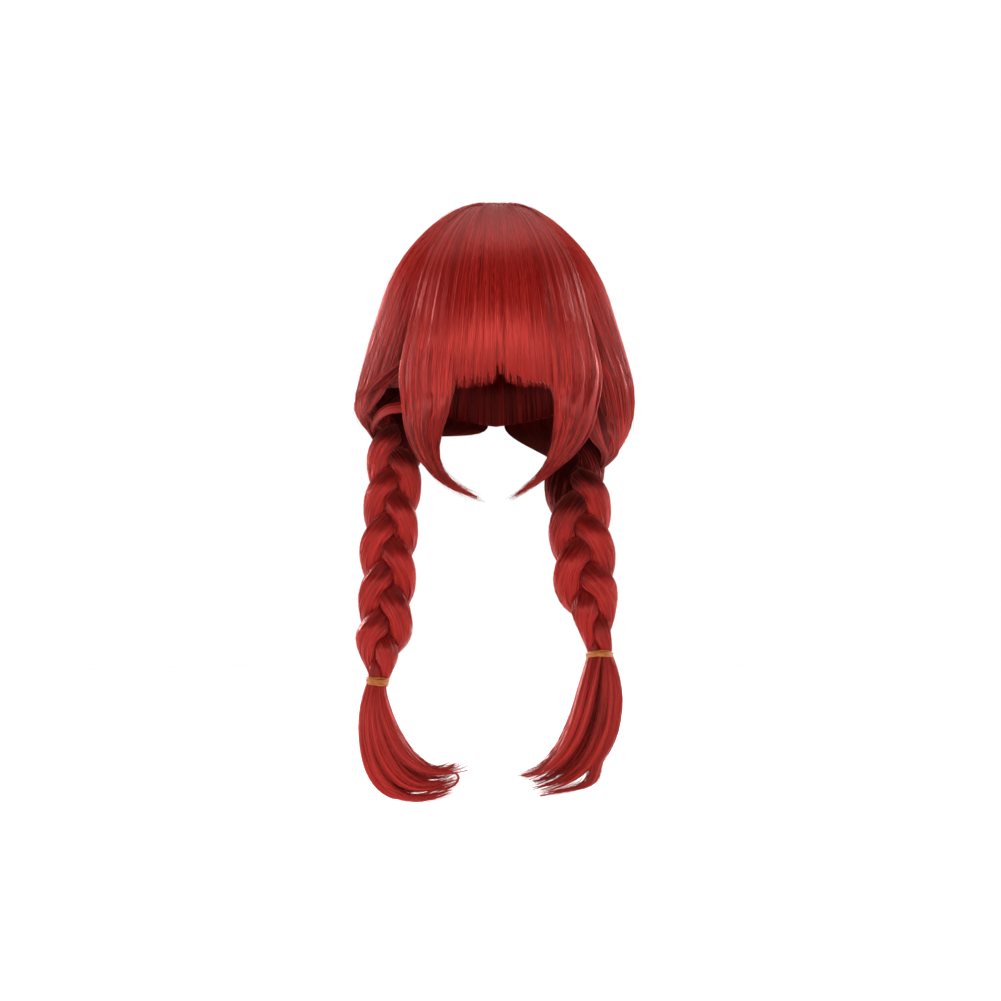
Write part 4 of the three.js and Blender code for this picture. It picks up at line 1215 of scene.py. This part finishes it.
def elasticFinish():  # amber rubber: colour, roughness and bump all from one noise along it
    look = bandLook
    material = bpy.data.materials.new("amberElastic")
    start = blankNodes(material)
    flow = start.node("ShaderNodeUVMap", {"uv_map": "flow"})
    cloud = start.node("ShaderNodeTexNoise", {"noise_dimensions": "2D"},
                       {"Vector": flow, "Scale": look["cloud"], "Detail": look["detail"]})
    stops = list(zip(look["stops"], (look["dark"], look["amber"])))
    colour = start.node("ShaderNodeValToRGB", {"stops": stops}, {0: cloud})
    bump = start.node("ShaderNodeBump", {}, {
        "Strength": look["bump"], "Distance": look["bumpDepth"], "Height": cloud})
    dress(start, {
        "Base Color": colour, "Roughness": look["roughness"] + look["grain"] * cloud, "Normal": bump,
        "Specular IOR Level": look["gloss"], "Subsurface Weight": look["glow"],
        "Subsurface Radius": look["glowReach"], "Subsurface Scale": look["glowScale"]})
    return material


amberElastic = elasticFinish()
makePiece("crown", "crown", redHair, [crownBody(), *crownHairs()])
makePiece("fringe", "fringe", redHair, [fringeBody(), fringeHairs()])
for name in ("left", "right"):
    title = name.capitalize()
    makePiece("sideLock" + title, f"side_lock_{name}", redHair,
              [sideLockBody(name), sideLockHairs(name)])
    makePiece("bunch" + title, f"bunch_{name}", redHair,
              [bunchBody(name), bunchHairs(name), bunchWisps(name), *(bunchSash() if name == "left" else [])])
    for index in range(3):
        makePiece(f"braid{title}Strand{index + 1}", f"braid_{name}_strand_{index + 1}", braidHair,
                  strandBodies(name, index), strandLook["axle"])
    makePiece("band" + title, f"band_{name}", amberElastic, [bandBody(name)])
    makePiece("tuft" + title, f"tuft_{name}", braidHair, tuftBodies(name), tuftLook["axle"])


# Floor, light and camera, in metres

studioLook = {
    "floor": -0.474, "reach": 6, "pale": (0.92, 0.92, 0.92), "glow": (0.45, 0.45, 0.45), "fade": (0.7, 1.6),
    "roughness": 0.9, "ambient": 1.0, "shade": 0.92,
    # The dark ring round the room: where it fades in towards the front, from below and from above
    "front": (0.95, 0.4), "high": (0.06, 0.28), "low": (0.97, 0.9),
    "lights": [  # name, place, what it points at, width, height and power
        ("topLight", (-0.1, 0.1, 1.3), (0, 0, -0.1), 1.6, 1.0, 6),
        ("frontLight", (-0.1, -2.3, -0.05), (0, 0, -0.16), 2.4, 0.5, 31),
        ("leftSideLight", (-1.45, 1.05, 0.3), (0, 0, -0.08), 1.4, 0.5, 46),
        ("leftLowLight", (-1.9, -0.9, 0.0), (0, 0, -0.12), 1.7, 0.45, 8),
        ("leftBackLight", (-1.25, 1.4, 0.3), (0, 0, -0.08), 1.2, 0.5, 3),
        ("rightSideLight", (1.45, 1.05, 0.3), (0, 0, -0.08), 1.4, 0.5, 36),
        ("rightLowLight", (1.9, -0.9, 0.0), (0, 0, -0.12), 1.7, 0.45, 8),
        ("rightBackLight", (1.25, 1.4, 0.3), (0, 0, -0.08), 1.2, 0.5, 3),
    ],
}


def paleFloor():
    # A flat sheet of four squares: its colour fades to none and its glow to white with the distance
    look = studioLook
    size = np.linspace(-look["reach"], look["reach"], 3)
    x, y = np.meshgrid(size, size)
    mesh = bpy.data.meshes.new("floor")
    points = np.stack([x.ravel(), y.ravel(), np.full(x.size, look["floor"])], 1)
    corner = (np.arange(2)[:, None] * 3 + np.arange(2)[None]).ravel()
    mesh.from_pydata(points.tolist(), [], np.stack([corner, corner + 1, corner + 4, corner + 3], 1).tolist())
    material = bpy.data.materials.new("paleFloor")
    start = blankNodes(material)
    place = start.node("ShaderNodeTexCoord", out=3)
    distance = start.node("ShaderNodeVectorMath", {"operation": "LENGTH"}, {0: place}, out=1)
    far = start.node("ShaderNodeMapRange", {}, {0: distance, 1: look["fade"][0], 2: look["fade"][1]})
    colour = start.node("ShaderNodeValToRGB", {"stops": [(0, look["pale"]), (1, (0, 0, 0))]}, {0: far})
    glow = start.node("ShaderNodeValToRGB", {"stops": [(0, look["glow"]), (1, (1, 1, 1))]}, {0: far})
    dress(start, {"Base Color": colour, "Roughness": look["roughness"], "Specular IOR Level": 0.0,
                  "Emission Color": glow, "Emission Strength": 1.0})
    mesh.materials.append(material)
    floor = bpy.data.objects.new("floor", mesh)
    bpy.context.scene.collection.objects.link(floor)


def softLight(name, place, target, width, height, power):
    # Turned to its target: up by the angle between the run and straight down, round by the run's own angle
    light = bpy.data.lights.new(name, "AREA")
    light.shape = "RECTANGLE"
    light.size, light.size_y, light.energy = width, height, power
    lamp = bpy.data.objects.new(name, light)
    lamp.visible_camera = False
    lamp.location = place
    run = np.array(target) - np.array(place)
    tilt = math.acos(-run[2] / np.linalg.norm(run))
    lamp.rotation_euler = (tilt, 0, math.atan2(run[1], run[0]) - math.pi / 2)
    bpy.context.scene.collection.objects.link(lamp)


paleFloor()
for row in studioLook["lights"]:
    softLight(*row)

scene = bpy.context.scene
scene.world = bpy.data.worlds.new("paleRoom")
room = blankNodes(scene.world)
sky = room.node("ShaderNodeSeparateXYZ", {}, {0: room.node("ShaderNodeTexCoord")})
front, high, low = (
    room.node("ShaderNodeMapRange", {}, {0: sky.pick(axis), 1: studioLook[key][0], 2: studioLook[key][1]})
    for axis, key in ((1, "front"), (2, "high"), (2, "low")))
seen = room.node("ShaderNodeLightPath")  # the backdrop itself stays plain white
dim = 1 - studioLook["shade"] * front * high * low * (1 - seen)
strength = studioLook["ambient"] * dim
light = room.node("ShaderNodeBackground", {}, {"Color": (1, 1, 1, 1), "Strength": strength})
room.node("ShaderNodeOutputWorld", {}, {"Surface": light}, None)
scene.view_settings.view_transform = "Standard"

camera = bpy.data.objects.new("camera", bpy.data.cameras.new("camera"))
camera.data.angle = 2 * math.atan(0.4004 / 1.7)
camera.data.clip_end = 50
camera.location = (0.0036, -1.7, -0.226)
camera.rotation_euler = (math.pi / 2, 0, 0)
scene.collection.objects.link(camera)
scene.camera = camera
print("floor, lights and camera set")
